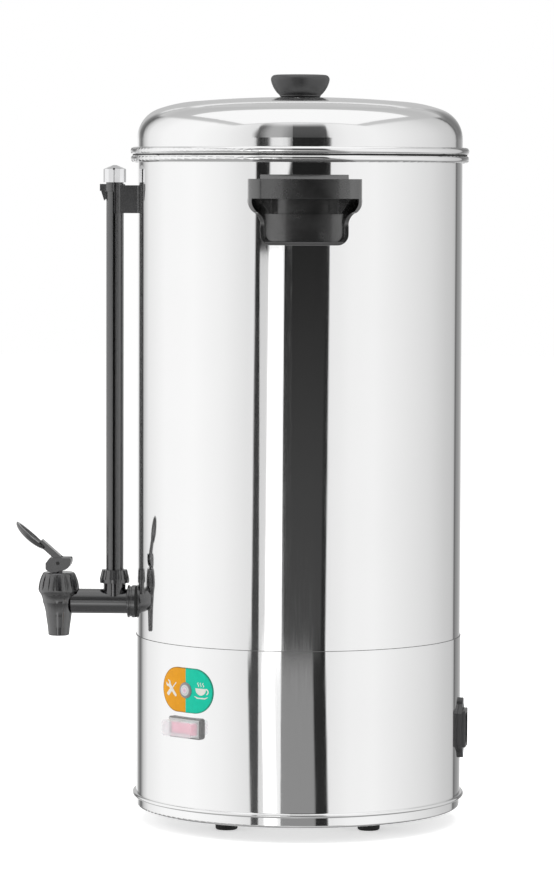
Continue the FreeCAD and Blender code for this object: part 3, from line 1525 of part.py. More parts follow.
def make_terminal_block():
    long, wide = "block_length / 2", "block_width / 2"
    base = brick("BlockBase", (f"block_x - {long} - 6", f"block_x + {long} + 6"),
                 (f"block_y - {wide}", f"block_y + {wide}"), ("pan_floor", "pan_floor + block_base"))
    body = brick("BlockBody", (f"block_x - {long}", f"block_x + {long}"),
                 (f"block_y - {wide}", f"block_y + {wide}"),
                 ("pan_floor + block_base - 1", "pan_floor + block_height"))
    pitch = "(block_length / block_poles)"
    wells = []
    for index in range(round(value("block_poles"))):
        x = f"block_x - {long} + {pitch} * {index + 0.5}"
        wells.append(upright(f"PoleWell{index}", "block_screw_radius", "pan_floor + 8",
                             "pan_floor + block_height + 1", x=x, y="block_y"))
        wells.append(sideways(f"PoleWay{index}", "lead_radius + 0.4", f"block_y - {wide} - 1",
                              f"block_y + {wide} + 1", x=x, z="lead_level"))
    node(cut("TerminalBlock", joined("BlockBlank", base, body), *wells), "terminal_block")


# Leads between the inlet, block, switch, lamp, controls and elements

def point_at(azimuth, x, y, z):
    """A point given as outward, sideways and up on one side of the urn."""
    turned = FreeCAD.Rotation(FreeCAD.Vector(0, 0, 1), value(azimuth))
    return turned.multVec(FreeCAD.Vector(value(x), value(y), value(z)))


def at_pole(index, y, z="lead_level"):
    """A point on the line of one pole of the terminal block."""
    x = f"block_x - block_length / 2 + block_length / block_poles * {index + 0.5}"
    return FreeCAD.Vector(value(x), value(y), value(z))


def below(point, level):
    """The point straight under another, at a level."""
    return FreeCAD.Vector(point.x, point.y, value(level))


def lead_along(points):
    """A round lead along straight runs, with a bend at each corner."""
    radius, bend = value("lead_radius"), value("lead_bend")
    edges = []
    last = points[0]
    for before, corner, after in zip(points, points[1:], points[2:]):
        arriving = (corner - before).normalize()
        leaving = (after - corner).normalize()
        half_turn = arriving.getAngle(leaving) / 2
        room = min((corner - before).Length, (after - corner).Length) * 0.45
        reach = min(bend * math.tan(half_turn), room)
        inward = (leaving - arriving).normalize()
        distance = reach / math.tan(half_turn) * (1 / math.cos(half_turn) - 1)
        start, end = corner - arriving * reach, corner + leaving * reach
        edges.append(Part.LineSegment(last, start).toShape())
        edges.append(Part.Arc(start, corner + inward * distance, end).toShape())
        last = end
    edges.append(Part.LineSegment(last, points[-1]).toShape())
    section = Part.Wire(Part.Circle(points[0], points[1] - points[0], radius).toShape())
    return Part.Wire(edges).makePipeShell([section], True, True)


def make_leads():
    touch = "slip_fit"
    near, far = f"block_y + {touch} * 20", f"block_y - {touch} * 20"
    front = "block_y - block_width / 2 - 8"
    routes = []
    for row, pole in ((-1, 0), (0, 2), (1, 1)):
        offset = "-0.5" if row else "0.5"
        y, z = f"{offset} * blade_offset", f"inlet_height + {row} * blade_pitch"
        depth = f"shell_back - tab_length - 18 - {row} * 6"
        routes.append([
            point_at("inlet_azimuth", f"shell_back - tab_length - {touch}", y, z),
            point_at("inlet_azimuth", depth, y, z),
            at_pole(pole, depth),
            at_pole(pole, near),
        ])
    blade = f"switch_back - tab_length - {touch}"
    for side, pole, corner in ((-1, 0, "block_y - 36"), (0, 1, "block_y - 28")):
        y = f"{side} * housing_width / 3"
        routes.append([
            at_pole(pole, far),
            at_pole(pole, corner),
            point_at("panel_azimuth", f"{blade} - 23", y, "lead_level"),
            point_at("panel_azimuth", f"{blade} - 23", y, "switch_height"),
            point_at("panel_azimuth", blade, y, "switch_height"),
        ])
    sensor_end = f"floor_under - sensor_height - tab_length - {touch}"
    inner, outer = "sensor_circle - sensor_tab", "sensor_circle + sensor_tab"
    cutout = point_at("sensor_azimuth", inner, "sensor_spread / 2", sensor_end)
    routes.append([
        point_at("panel_azimuth", blade, "housing_width / 3", "switch_height"),
        point_at("panel_azimuth", f"{blade} - 23", "housing_width / 3", "switch_height"),
        below(cutout, "vessel_foot - 36"),
        cutout,
    ])
    routes.append([
        point_at("sensor_azimuth", outer, "-sensor_spread / 2", sensor_end),
        point_at("sensor_azimuth", outer, "-sensor_spread / 2", f"{sensor_end} - 13"),
        point_at("sensor_azimuth", outer, "sensor_spread / 2", f"{sensor_end} - 13"),
        point_at("sensor_azimuth", outer, "sensor_spread / 2", sensor_end),
    ])
    gap = FreeCAD.Vector(0, 0, value(touch))
    boil_in, boil_out = [end - gap for end in LEG_ENDS["boil_element"]]
    warm_in, warm_out = [end - gap for end in LEG_ENDS["keep_warm_element"]]
    thermostat = point_at("sensor_azimuth", inner, "-sensor_spread / 2", sensor_end)
    routes.append([thermostat, below(thermostat, f"{sensor_end} - 19"),
                   below(boil_in, "vessel_foot - 50"), boil_in])
    routes.append([at_pole(3, far), at_pole(3, "block_y - 14"), below(boil_out, "pan_floor + 25"),
                   boil_out])
    lamp_back = f"sign_radius - lamp_depth - {touch}"
    for y, end, level in (("2.5", warm_out, "vessel_foot - 38"), ("-2.5", warm_in, "vessel_foot - 50")):
        routes.append([
            point_at("panel_azimuth", lamp_back, y, "sign_height"),
            point_at("panel_azimuth", f"{lamp_back} - 21", y, "sign_height"),
            below(end, level),
            end,
        ])
    routes.append([at_pole(2, far), at_pole(2, front), at_pole(2, front, f"pan_floor + {touch}")])
    part = doc.addObject("Part::Feature", "WiringLeads")
    part.Shape = Part.makeCompound([lead_along(route) for route in routes])
    node(part, "wiring_leads")


# Power inlet: an appliance socket with three blades, screwed to the skirt

def make_inlet():
    middle = "inlet_height"
    half, wide, ear = "(inlet_length / 2)", "(inlet_width / 2)", "(inlet_ear / 2)"
    shoulder = "(shell_tall / 2 - 1)"
    plate = padded_body("InletPlate", "YZ_Plane", [
        (f"-{wide}", f"{middle} - {shoulder}"),
        (f"-{ear}", f"{middle} - {half} + {ear}"),
        ("0", f"{middle} - {half}", ear),
        (ear, f"{middle} - {half} + {ear}", ear),
        (wide, f"{middle} - {shoulder}"),
        (wide, f"{middle} + {shoulder}"),
        (ear, f"{middle} + {half} - {ear}"),
        ("0", f"{middle} + {half}", ear),
        (f"-{ear}", f"{middle} + {half} - {ear}", ear),
        (f"-{wide}", f"{middle} + {shoulder}"),
    ], "skirt_radius - 10", "inlet_face")
    skin = upright("InletSkin", "skirt_radius + slip_fit", f"{middle} - 40", f"{middle} + 40")
    seated = cut("InletSeated", plate, skin)
    collar = rounded_face("InletCollar", "collar_width", "collar_tall", "2", middle,
                          "inlet_face - 1", "inlet_face + collar_depth")
    shell = brick("InletShell", ("shell_back", "inlet_face - 0.5"),
                  ("-shell_width / 2", "shell_width / 2"),
                  (f"{middle} - shell_tall / 2", f"{middle} + shell_tall / 2"))
    deep, side, bevel = "(socket_tall / 2)", "(socket_width / 2)", "socket_bevel"
    mouth = "(inlet_face + collar_depth)"
    socket = padded_body("InletSocket", "YZ_Plane", [
        (f"-{side}", f"{middle} - {deep}"),
        (f"{side} - {bevel}", f"{middle} - {deep}"),
        (side, f"{middle} - {deep} + {bevel}"),
        (side, f"{middle} + {deep} - {bevel}"),
        (f"{side} - {bevel}", f"{middle} + {deep}"),
        (f"-{side}", f"{middle} + {deep}"),
    ], f"{mouth} - socket_depth", f"{mouth} + 1")
    floor = f"({mouth} - socket_depth)"
    blades, slots = [], []
    for index, (row, offset) in enumerate(((-1, -0.5), (0, 0.5), (1, -0.5))):
        y, z = f"{offset} * blade_offset", f"{middle} + {row} * blade_pitch"
        spans = ((f"{y} - blade_width / 2", f"{y} + blade_width / 2"),
                 (f"{z} - blade_wall / 2", f"{z} + blade_wall / 2"))
        reach = ("shell_back - tab_length", f"{floor} + blade_length")
        blades.append(brick(f"Blade{index}", reach, *spans))
        slots.append(brick(f"BladeSlot{index}", ("shell_back - 1", f"{floor} + 1"), *spans))
    screws, nuts, holes = [], [], []
    for index, sign in enumerate((-1, 1)):
        z = f"{middle} + {sign} * inlet_screw_spread / 2"
        holes.append(outward(f"InletScrewHole{index}", "inlet_screw_radius + slip_fit",
                             "skirt_radius - 5", "inlet_face + 1", z=z))
        sink = turned_body(f"InletSink{index}", [
            ("inlet_face - inlet_screw_head + inlet_screw_radius", "0"),
            ("inlet_face + 1", "0"),
            ("inlet_face + 1", "inlet_screw_head + slip_fit"),
            ("inlet_face", "inlet_screw_head + slip_fit"),
            ("inlet_face - inlet_screw_head + inlet_screw_radius", "inlet_screw_radius + slip_fit"),
        ], "H_Axis")
        holes.append(put(sink, z=z))
        screw = turned_body(f"InletScrew{index}", [
            ("inlet_face - inlet_screw_length", "0"),
            ("inlet_face - slip_fit", "0"),
            ("inlet_face - slip_fit", "inlet_screw_head"),
            ("inlet_face - slip_fit - inlet_screw_head + inlet_screw_radius", "inlet_screw_radius"),
            ("inlet_face - inlet_screw_length", "inlet_screw_radius"),
        ], "H_Axis")
        screws.append(put(screw, z=z))
        nuts.append(outward_hexagon(f"InletNut{index}", "inlet_nut_across",
                                    "skirt_bore - 0.1 - inlet_nut_height", "skirt_bore - 0.1",
                                    "inlet_screw_radius + slip_fit / 2", z=z))
    body = cut("InletBody", joined("InletBlank", seated, collar, shell), socket, *slots, *holes)
    turn = {"turn": "inlet_azimuth"}
    node(put(body, **turn), "power_inlet")
    node(put(grouped("InletPins", blades), **turn), "inlet_pins")
    node(put(grouped("InletScrews", screws), **turn), "inlet_screws")
    node(put(grouped("InletNuts", nuts), **turn), "inlet_nuts")


# Percolator pump, coffee basket and spreader

def make_pump():
    bore = "(pump_tube_radius - pump_tube_wall)"
    bead = "valve_seat - slip_fit"
    tube = turned_body("PumpTube", [
        (bore, "pump_tube_foot"),
        ("pump_tube_radius", "pump_tube_foot"),
        ("pump_tube_radius", f"{bead} - tube_bead_height"),
        ("tube_bead", f"{bead} - tube_bead_height"),
        ("tube_bead", bead),
        ("pump_tube_radius", bead),
        ("pump_tube_radius", "basket_seat - collar_height"),
        ("collar_radius", "basket_seat - collar_height"),
        ("collar_radius", "basket_seat"),
        ("pump_tube_radius", "basket_seat"),
        ("pump_tube_radius", "pump_tube_top"),
        (bore, "pump_tube_top"),
    ])
    node(tube, "pump_tube")
    hole = "pump_tube_radius + slip_fit"
    dome = turned_body("PumpDome", [
        (hole, "dome_roof - dome_wall"),
        ("dome_roof_radius", "dome_roof - dome_wall"),
        ("dome_radius - dome_wall", "dome_foot + 4"),
        ("dome_radius - dome_wall", "dome_foot"),
        ("dome_radius", "dome_foot"),
        ("dome_radius", "dome_foot + 4"),
        ("dome_roof_radius + dome_wall / 2", "dome_roof"),
        (hole, "dome_roof"),
    ])
    ring_of_holes(dome, "InletHole", "inlet_hole_circle", "inlet_hole_radius", "inlet_hole_count")
    node(dome, "pump_dome")
    node(turned_body("PumpValve", [
        ("valve_bore", "valve_seat"),
        ("valve_radius", "valve_seat"),
        ("valve_radius", "valve_seat + valve_wall"),
        ("valve_bore", "valve_seat + valve_wall"),
    ]), "pump_valve_disc")


def make_basket():
    sleeve = "(sleeve_bore + basket_wall)"
    cup = turned_body("CoffeeBasket", [
        ("sleeve_bore", "basket_bottom"),
        ("basket_radius", "basket_bottom"),
        ("basket_radius", "basket_top - basket_wall"),
        ("basket_radius + basket_lip", "basket_top - basket_wall"),
        ("basket_radius + basket_lip", "basket_top"),
        ("basket_radius - basket_wall", "basket_top"),
        ("basket_radius - basket_wall", "basket_bottom + basket_wall"),
        (sleeve, "basket_bottom + basket_wall"),
        (sleeve, "basket_bottom + sleeve_height"),
        ("sleeve_bore", "basket_bottom + sleeve_height"),
    ])
    drill_sieve(cup, "Basket")
    node(cup, "coffee_basket")
    level = "basket_top + slip_fit * 2"
    spreader = turned_body("BasketSpreader", [
        ("sleeve_bore", level),
        ("spreader_radius", level),
        ("spreader_radius", f"{level} + spreader_rim"),
        ("spreader_radius - basket_wall", f"{level} + spreader_rim"),
        ("spreader_radius - basket_wall", f"{level} + basket_wall"),
        (sleeve, f"{level} + basket_wall"),
        (sleeve, f"{level} + spreader_collar"),
        ("sleeve_bore", f"{level} + spreader_collar"),
    ])
    drill_sieve(spreader, "Spreader")
    node(spreader, "basket_spreader")


def drill_sieve(body, name):
    """Rings of small holes, with more holes in each ring than in the one inside it."""
    for ring in range(1, round(value("sieve_rings")) + 1):
        ring_of_holes(body, f"{name}Sieve{ring}", f"{ring} * sieve_pitch + 4", "sieve_hole",
                      f"{ring} * sieve_step")


# Lid with its locating ring and knob

def lid_bends(inset):
    """Where the lid's crown meets its brow, and the brow its shoulder."""
    crown_end = (f"(crown_radius - {inset}) * crown_lean",
                 f"crown_centre + (crown_radius - {inset}) * crown_rise")
    brow_end = (f"shoulder_centre + (shoulder_radius - {inset}) * sin(shoulder_slope)",
                f"shoulder_level + (shoulder_radius - {inset}) * cos(shoulder_slope)")
    return crown_end, brow_end


def make_lid():
    hole = "(knob_screw_radius + slip_fit * 2)"
    crown_end, brow_end = lid_bends("0")
    crown_end_in, brow_end_in = lid_bends("lid_wall")
    roll_in = "lid_wall - lid_roll"
    shell = turned_body("LidShell", [
        (hole, f"crown_centre + sqrt(crown_radius ^ 2 - {hole} ^ 2)"),
        (*crown_end, "-crown_radius"),
        (*brow_end, "-brow_radius"),
        ("lid_side", "shoulder_level", "-shoulder_radius"),
        ("lid_side", "lid_roll_level"),
        ("lid_roll_centre", "lid_roll_level - lid_roll + lid_wall", "lid_roll - lid_wall"),
        ("lid_roll_centre + lid_roll - lid_wall", "lid_roll_level", "lid_roll - lid_wall"),
        ("lid_roll_centre", "lid_roll_level + lid_roll - lid_wall", "lid_roll - lid_wall"),
        ("lid_roll_centre", "lid_roll_level + lid_roll"),
        ("lid_roll_centre + lid_roll", "lid_roll_level", "-lid_roll"),
        ("lid_roll_centre", "lid_roll_level - lid_roll", "-lid_roll"),
        ("lid_bore", "lid_roll_level", "-lid_roll"),
        ("lid_bore", "shoulder_level"),
        (*brow_end_in, "shoulder_radius - lid_wall"),
        (*crown_end_in, "brow_radius - lid_wall"),
        (hole, f"crown_centre + sqrt((crown_radius - lid_wall) ^ 2 - {hole} ^ 2)",
         "crown_radius - lid_wall"),
    ])
    vent = upright("LidVent", "lid_vent_radius", "crown_top - 20", "crown_top + 5", x="lid_vent_circle")
    node(cut("LidShellVented", shell, vent), "lid_shell")
    seam = "(lid_bore - slip_fit)"
    level = "lid_roll_level"
    node(turned_body("LidRing", [
        ("ring_radius - lid_wall", "rim_top - ring_drop"),
        ("ring_radius", "rim_top - ring_drop"),
        ("ring_radius", "rim_top - 1"),
        (seam, f"{level}"),
        (seam, f"{level} + ring_rise"),
        (f"{seam} - lid_wall", f"{level} + ring_rise"),
        (f"{seam} - lid_wall", f"{level} + 0.4"),
        ("ring_radius - lid_wall", "rim_top - 0.6"),
    ]), "lid_ring")
    make_knob(hole)


def make_knob(hole):
    foot = "crown_top"
    top = "(crown_top + knob_height)"
    node(turned_body("LidKnob", [
        ("knob_screw_radius + slip_fit / 2", foot),
        ("knob_neck - knob_bottom_edge", foot),
        ("knob_neck", f"{foot} + knob_bottom_edge", "knob_bottom_edge"),
        ("knob_radius", f"{top} - knob_crown_edge - 1", "knob_side"),
        ("knob_radius - knob_crown_edge", top, "knob_crown_edge + 0.4"),
        ("knob_neck - 3", f"{top} - 0.2"),
        ("0", f"{top} - knob_dish"),
        ("0", f"{foot} + knob_screw_depth + 0.5"),
        ("knob_screw_radius + slip_fit / 2", f"{foot} + knob_screw_depth + 0.5"),
    ]), "lid_knob")
    node(turned_body("KnobScrew", [
        ("0", "lid_under - knob_washer_depth - knob_head_height"),
        ("knob_head_radius", "lid_under - knob_washer_depth - knob_head_height"),
        ("knob_head_radius", "lid_under - knob_washer_depth"),
        ("knob_washer_radius", "lid_under - knob_washer_depth"),
        ("knob_washer_radius", "lid_under - slip_fit"),
        ("knob_screw_radius", "lid_under - slip_fit"),
        ("knob_screw_radius", "crown_top + knob_screw_depth"),
        ("0", "crown_top + knob_screw_depth"),
    ]), "knob_screw")


def check_parts():
    """Stops if any object failed, or a sub-part has no sound solid."""
    for item in doc.Objects:
        if "Invalid" in item.State or "Error" in item.State:
            raise RuntimeError(f"{item.Label}: {item.State}")
    for part in NODES:
        if part.Shape.isNull() or not part.Shape.isValid() or not part.Shape.Solids:
            raise RuntimeError(f"{part.Label} has no sound solid")


make_vessel()
make_pump_well()
make_elements()
make_base()
make_handles()
make_tap()
make_gauge()
make_panel()
make_switch()
make_sensors()
make_terminal_block()
make_inlet()
make_leads()
make_pump()
make_basket()
make_lid()
doc.recompute()
check_parts()

os.makedirs("parts", exist_ok=True)
for part in NODES:
    part.Shape.exportStep(f"parts/{part.Label}.step")
    print(f"{part.Label}: {len(part.Shape.Solids)} solid(s), {part.Shape.Volume / 1000:.2f} cm3")
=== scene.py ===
import math

import bmesh
import bpy
from mathutils import Matrix, Vector


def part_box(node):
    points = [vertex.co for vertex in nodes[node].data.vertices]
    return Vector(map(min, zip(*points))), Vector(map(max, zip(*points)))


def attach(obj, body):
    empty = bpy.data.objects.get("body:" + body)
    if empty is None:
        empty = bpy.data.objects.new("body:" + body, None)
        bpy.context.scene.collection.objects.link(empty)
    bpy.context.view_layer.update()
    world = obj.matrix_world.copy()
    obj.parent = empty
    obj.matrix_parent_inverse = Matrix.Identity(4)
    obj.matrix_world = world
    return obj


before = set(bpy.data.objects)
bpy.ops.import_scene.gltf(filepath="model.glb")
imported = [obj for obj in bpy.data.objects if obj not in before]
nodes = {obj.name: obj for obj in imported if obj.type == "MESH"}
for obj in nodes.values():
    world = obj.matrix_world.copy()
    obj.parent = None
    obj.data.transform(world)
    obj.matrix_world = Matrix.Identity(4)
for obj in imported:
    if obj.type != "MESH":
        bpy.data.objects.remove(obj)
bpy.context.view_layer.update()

MM = 0.001
PANEL_AZIMUTH = 320.5

# Sizes of the object that pieces and finishes made here are set against, in millimetres
SKIRT_RADIUS = 134.85
SKIRT_TOP = 154.8
# Place of the near-black ring under the lid's edge, which is painted shadow of the gap between lid and
# rim
RIM_SHADOW_RADIUS = 137.9
RIM_SHADOW_HEIGHT = 550.7
RIM_SHADOW_DEPTH = 1.5
RIM_SHADOW_TALL = 0.9
GAUGE_AXIS = 153.2
GUARD_GROOVE = 6.6
# Sizes of the dark strips that are painted shadow in the guard's grooves
GUARD_SHADOW_DEPTH = 0.15
GUARD_SHADOW_WIDTH = 1.52
GUARD_STEPS = 12
VESSEL_RADIUS = 134.2
SIGN_FACE = 135.7
SIGN_HEIGHT = 119.4
SIGN_WIDTH = 55
SIGN_TALL = 36.3
BEZEL_WIDTH = 36
BEZEL_TALL = 17
BEZEL_RIM = 1.3
PLATE_RIM = 0.7
TOOL_SCALE = 1.5
TOOLS_ACROSS = -16.3
CUP_SCALE = 1.4
CUP_ACROSS = 16.8
CUP_UP = -0.5
LENS_RADIUS = 5

# How deep a thin piece made here sits in what carries it, in millimetres
SUNK = 0.05

# Streaks of the polished sheet: the radius in metres that they are wrapped round, and how
# much they are drawn out up the sheet
STREAK_RADIUS = 0.134
STREAK_SQUASH = 0.02

# The camera's view in the object's frame, and the photograph's frame in pixels
VIEW_AZIMUTH = 92.5
PHOTO_HEIGHT = 884
FOCAL_PIXELS = 4043
CAMERA_DISTANCE = 3.344
CAMERA_HEIGHT = 0.529
CAMERA_PITCH = 0.0642
CAMERA_ROLL = 0.0033
AXIS_RIGHT_OF_CENTRE = 22
SENSOR_WIDTH = 36
CLIP_END = 60

# Brightness of the white card beside the camera, of the sky that lights matt surfaces, and
# of the floor that the camera sees
CARD_GLOW = 0.65
SKY_GLOW = 0.62
FLOOR_GLOW = 0.46

# Half the floor's side, and the height that the lamps point at, in metres
FLOOR_HALF = 9
AIM_HEIGHT = 0.3

# Openings in the studio that the steel shows as dark bands, in degrees to the right of the
# camera's direction. The right one ends in a darker strip. Higher up both join into one.
LEFT_GAP = (-30.7, -21.0)
RIGHT_GAP = (-9.0, 21.4)
STRIP_EDGE = 18.2
WIDE_GAP = (-32, 20)
GAP_EDGE = 1.2
JOINED_FROM = 1.9

# How far the openings lean, in degrees to the right for each degree up, as far as LEAN_TOP.
# Below SEAM_ELEVATION they lean to the left instead and lie further left by the shifts.
LEAN = 0.38
LEAN_TOP = 3.0
SEAM_ELEVATION = -6.72
LEAN_LOW = 1.1
LEAN_LOW_START = 10.02
LEFT_GAP_SHIFT = 2.4
RIGHT_GAP_SHIFT = 5.6

# Softbox and grey ceiling round it, as distances over height: along the camera's direction
# and across it
CEILING_ALONG = (-2.1, 0.72)
CEILING_ACROSS = 1.02
SOFTBOX_ALONG = (-0.62, 0.67)
SOFTBOX_ACROSS = 0.77


# Node helpers

def new_material(name):
    material = bpy.data.materials.new(name)
    material.use_nodes = True
    tree = material.node_tree
    tree.nodes.clear()
    output = tree.nodes.new("ShaderNodeOutputMaterial")
    return material, tree, output


def add(tree, kind, **inputs):
    """A new node, with inputs set by name or linked from a socket."""
    node = tree.nodes.new(kind)
    for key, given in inputs.items():
        socket = node.inputs[key]
        if isinstance(given, bpy.types.NodeSocket):
            tree.links.new(given, socket)
        else:
            socket.default_value = given
    return node


def maths(tree, operation, *terms):
    node = tree.nodes.new("ShaderNodeMath")
    node.operation = operation
    for socket, term in zip(node.inputs, terms):
        if isinstance(term, bpy.types.NodeSocket):
            tree.links.new(term, socket)
        else:
            socket.default_value = term
    return node.outputs[0]


def ramp(tree, factor, stops):
    """A colour that follows stops of (place, colour) from 0 to 1."""
    node = add(tree, "ShaderNodeValToRGB", Fac=factor)
    elements = node.color_ramp.elements
    while len(elements) < len(stops):
        elements.new(1.0)
    for element, (position, colour) in zip(elements, stops):
        element.position = position
        element.color = (*colour, 1)
    return node.outputs["Color"]


def coordinates(tree):
    return tree.nodes.new("ShaderNodeTexCoord").outputs["Object"]


def noise(tree, vector, scale, detail=4.0, roughness=0.55):
    return add(tree, "ShaderNodeTexNoise", Vector=vector, Scale=scale, Detail=detail,
               Roughness=roughness).outputs["Fac"]


def spread(tree, factor, low, high, start=0.35, end=0.65):
    """Maps a noise to a range of values."""
    node = add(tree, "ShaderNodeMapRange", Value=factor)
    node.inputs["From Min"].default_value = start
    node.inputs["From Max"].default_value = end
    node.inputs["To Min"].default_value = low
    node.inputs["To Max"].default_value = high
    return node.outputs["Result"]


def linked_mix(tree, factor, first, second):
    """A number between two others."""
    rest = maths(tree, "SUBTRACT", 1.0, factor)
    return maths(tree, "ADD", maths(tree, "MULTIPLY", rest, first),
                 maths(tree, "MULTIPLY", factor, second))


def bump(tree, height, strength, distance, normal=None):
    node = add(tree, "ShaderNodeBump", Height=height, Strength=strength, Distance=distance)
    if normal is not None:
        tree.links.new(normal, node.inputs["Normal"])
    return node.outputs["Normal"]


def shade(value):
    return (value, value, value)


def sheet_steel(name, tone, low, high, streaks=0.5, waviness=0.02):
    """Polished sheet steel, with fine streaks up the sheet and a slight waviness."""
    material, tree, output = new_material(name)
    place = coordinates(tree)
    parts = add(tree, "ShaderNodeSeparateXYZ", Vector=place)
    angle = maths(tree, "ARCTAN2", parts.outputs["Y"], parts.outputs["X"])
    round_about = maths(tree, "MULTIPLY", angle, STREAK_RADIUS)
    along = maths(tree, "MULTIPLY", parts.outputs["Z"], STREAK_SQUASH)
    wrapped = add(tree, "ShaderNodeCombineXYZ", X=round_about, Y=along).outputs["Vector"]
    fine = noise(tree, wrapped, 1400, 3, 0.6)
    broad = noise(tree, wrapped, 160, 2, 0.5)
    smudge = noise(tree, place, 9, 5, 0.6)
    mixed = maths(tree, "ADD", maths(tree, "MULTIPLY", fine, 0.65),
                  maths(tree, "MULTIPLY", smudge, 0.35))
    rough = spread(tree, mixed, low, high, 0.38, 0.62)
    colour = ramp(tree, smudge, [(0.3, shade(tone - 0.015)), (0.7, shade(tone))])
    waves = noise(tree, place, 5, 1, 0.4)
    rolled = bump(tree, waves, waviness, 0.02)
    uneven = maths(tree, "ADD", fine, maths(tree, "MULTIPLY", broad, 0.6))
    lined = bump(tree, uneven, streaks, 0.000004, rolled)
    shader = add(tree, "ShaderNodeBsdfPrincipled", **{"Base Color": colour, "Roughness": rough,
                                                      "Metallic": 1.0, "Normal": lined})
    tree.links.new(shader.outputs[0], output.inputs[0])
    return material


def plain_metal(name, colour, low, high, grain=900, depth=0.00002):
    """Formed or turned metal with fine grain."""
    material, tree, output = new_material(name)
    place = coordinates(tree)
    fine = noise(tree, place, grain, 3, 0.6)
    cloud = noise(tree, place, 40, 4, 0.6)
    tone = ramp(tree, cloud, [(0.3, [c * 0.9 for c in colour]), (0.7, colour)])
    shader = add(tree, "ShaderNodeBsdfPrincipled", **{
        "Base Color": tone, "Roughness": spread(tree, cloud, low, high), "Metallic": 1.0,
        "Normal": bump(tree, fine, 0.4, depth)})
    tree.links.new(shader.outputs[0], output.inputs[0])
    return material


def moulded(name, colour, low, high, grain=1500, depth=0.00003, ior=1.5, coat=0.0, lighter=1.35,
            edge=0.0005):
    """Moulded plastic or rubber with a fine skin texture and softly rounded edges."""
    material, tree, output = new_material(name)
    place = coordinates(tree)
    fine = noise(tree, place, grain, 2, 0.5)
    cloud = noise(tree, place, 60, 4, 0.6)
    tone = ramp(tree, cloud, [(0.3, colour), (0.72, [min(1, c * lighter) for c in colour])])
    rounded = add(tree, "ShaderNodeBevel", Radius=edge).outputs["Normal"]
    shader = add(tree, "ShaderNodeBsdfPrincipled", **{
        "Base Color": tone, "Roughness": spread(tree, cloud, low, high),
        "Normal": bump(tree, fine, 0.5, depth, rounded)})
    shader.inputs["IOR"].default_value = ior
    shader.inputs["Coat Weight"].default_value = coat
    tree.links.new(shader.outputs[0], output.inputs[0])
    return material


def clear(name, colour, rough, alpha_low, alpha_high):
    """A clear or milky skin that lets the surface below show."""
    material, tree, output = new_material(name)
    place = coordinates(tree)
    cloud = noise(tree, place, 120, 3, 0.6)
    tone = ramp(tree, cloud, [(0.3, [c * 0.94 for c in colour]), (0.7, colour)])
    edge = add(tree, "ShaderNodeLayerWeight", Blend=0.35).outputs["Facing"]
    shader = add(tree, "ShaderNodeBsdfPrincipled", **{
        "Base Color": tone, "Roughness": spread(tree, cloud, rough, rough + 0.08),
        "Alpha": spread(tree, edge, alpha_low, alpha_high, 0.1, 0.9)})
    tree.links.new(shader.outputs[0], output.inputs[0])
    return material


def on_plate(tree, place):
    """How far a point lies across and up from the signal plate's middle."""
    parts = add(tree, "ShaderNodeSeparateXYZ", Vector=place)
    azimuth = math.radians(PANEL_AZIMUTH)
    across = maths(tree, "ADD", maths(tree, "MULTIPLY", parts.outputs["X"], -math.sin(azimuth)),
                   maths(tree, "MULTIPLY", parts.outputs["Y"], math.cos(azimuth)))
    return across, maths(tree, "SUBTRACT", parts.outputs["Z"], SIGN_HEIGHT * MM)


def control_plate_finish():
    """The signal plate: an orange half and a green half with a darker rim."""
    material, tree, output = new_material("control-plate-print")
    place = coordinates(tree)
    across, up = on_plate(tree, place)
    beyond = maths(tree, "MAXIMUM", maths(tree, "SUBTRACT", maths(tree, "ABSOLUTE", across),
                                          (SIGN_WIDTH - SIGN_TALL) / 2 * MM), 0)
    from_middle = maths(tree, "SQRT", maths(tree, "ADD", maths(tree, "MULTIPLY", beyond, beyond),
                                            maths(tree, "MULTIPLY", up, up)))
    right_half = maths(tree, "GREATER_THAN", across, 0.0)
    cloud = noise(tree, place, 300, 3, 0.6)
    orange = ramp(tree, cloud, [(0.3, (0.65, 0.27, 0.001)), (0.7, (0.70, 0.30, 0.003))])
    green = ramp(tree, cloud, [(0.3, (0.0, 0.47, 0.31)), (0.7, (0.001, 0.52, 0.35))])
    face = add(tree, "ShaderNodeMix", Factor=right_half)
    face.data_type = "RGBA"
    tree.links.new(orange, face.inputs[6])
    tree.links.new(green, face.inputs[7])
    rim = maths(tree, "GREATER_THAN", from_middle, (SIGN_TALL / 2 - PLATE_RIM) * MM)
    darker = add(tree, "ShaderNodeMix", Factor=maths(tree, "MULTIPLY", rim, 0.5))
    darker.data_type = "RGBA"
    tree.links.new(face.outputs[2], darker.inputs[6])
    darker.inputs[7].default_value = (0.02, 0.05, 0.03, 1)
    shader = add(tree, "ShaderNodeBsdfPrincipled", **{
        "Base Color": darker.outputs[2], "Roughness": spread(tree, cloud, 0.3, 0.42)})
    shader.inputs["IOR"].default_value = 1.3
    tree.links.new(shader.outputs[0], output.inputs[0])
    return material


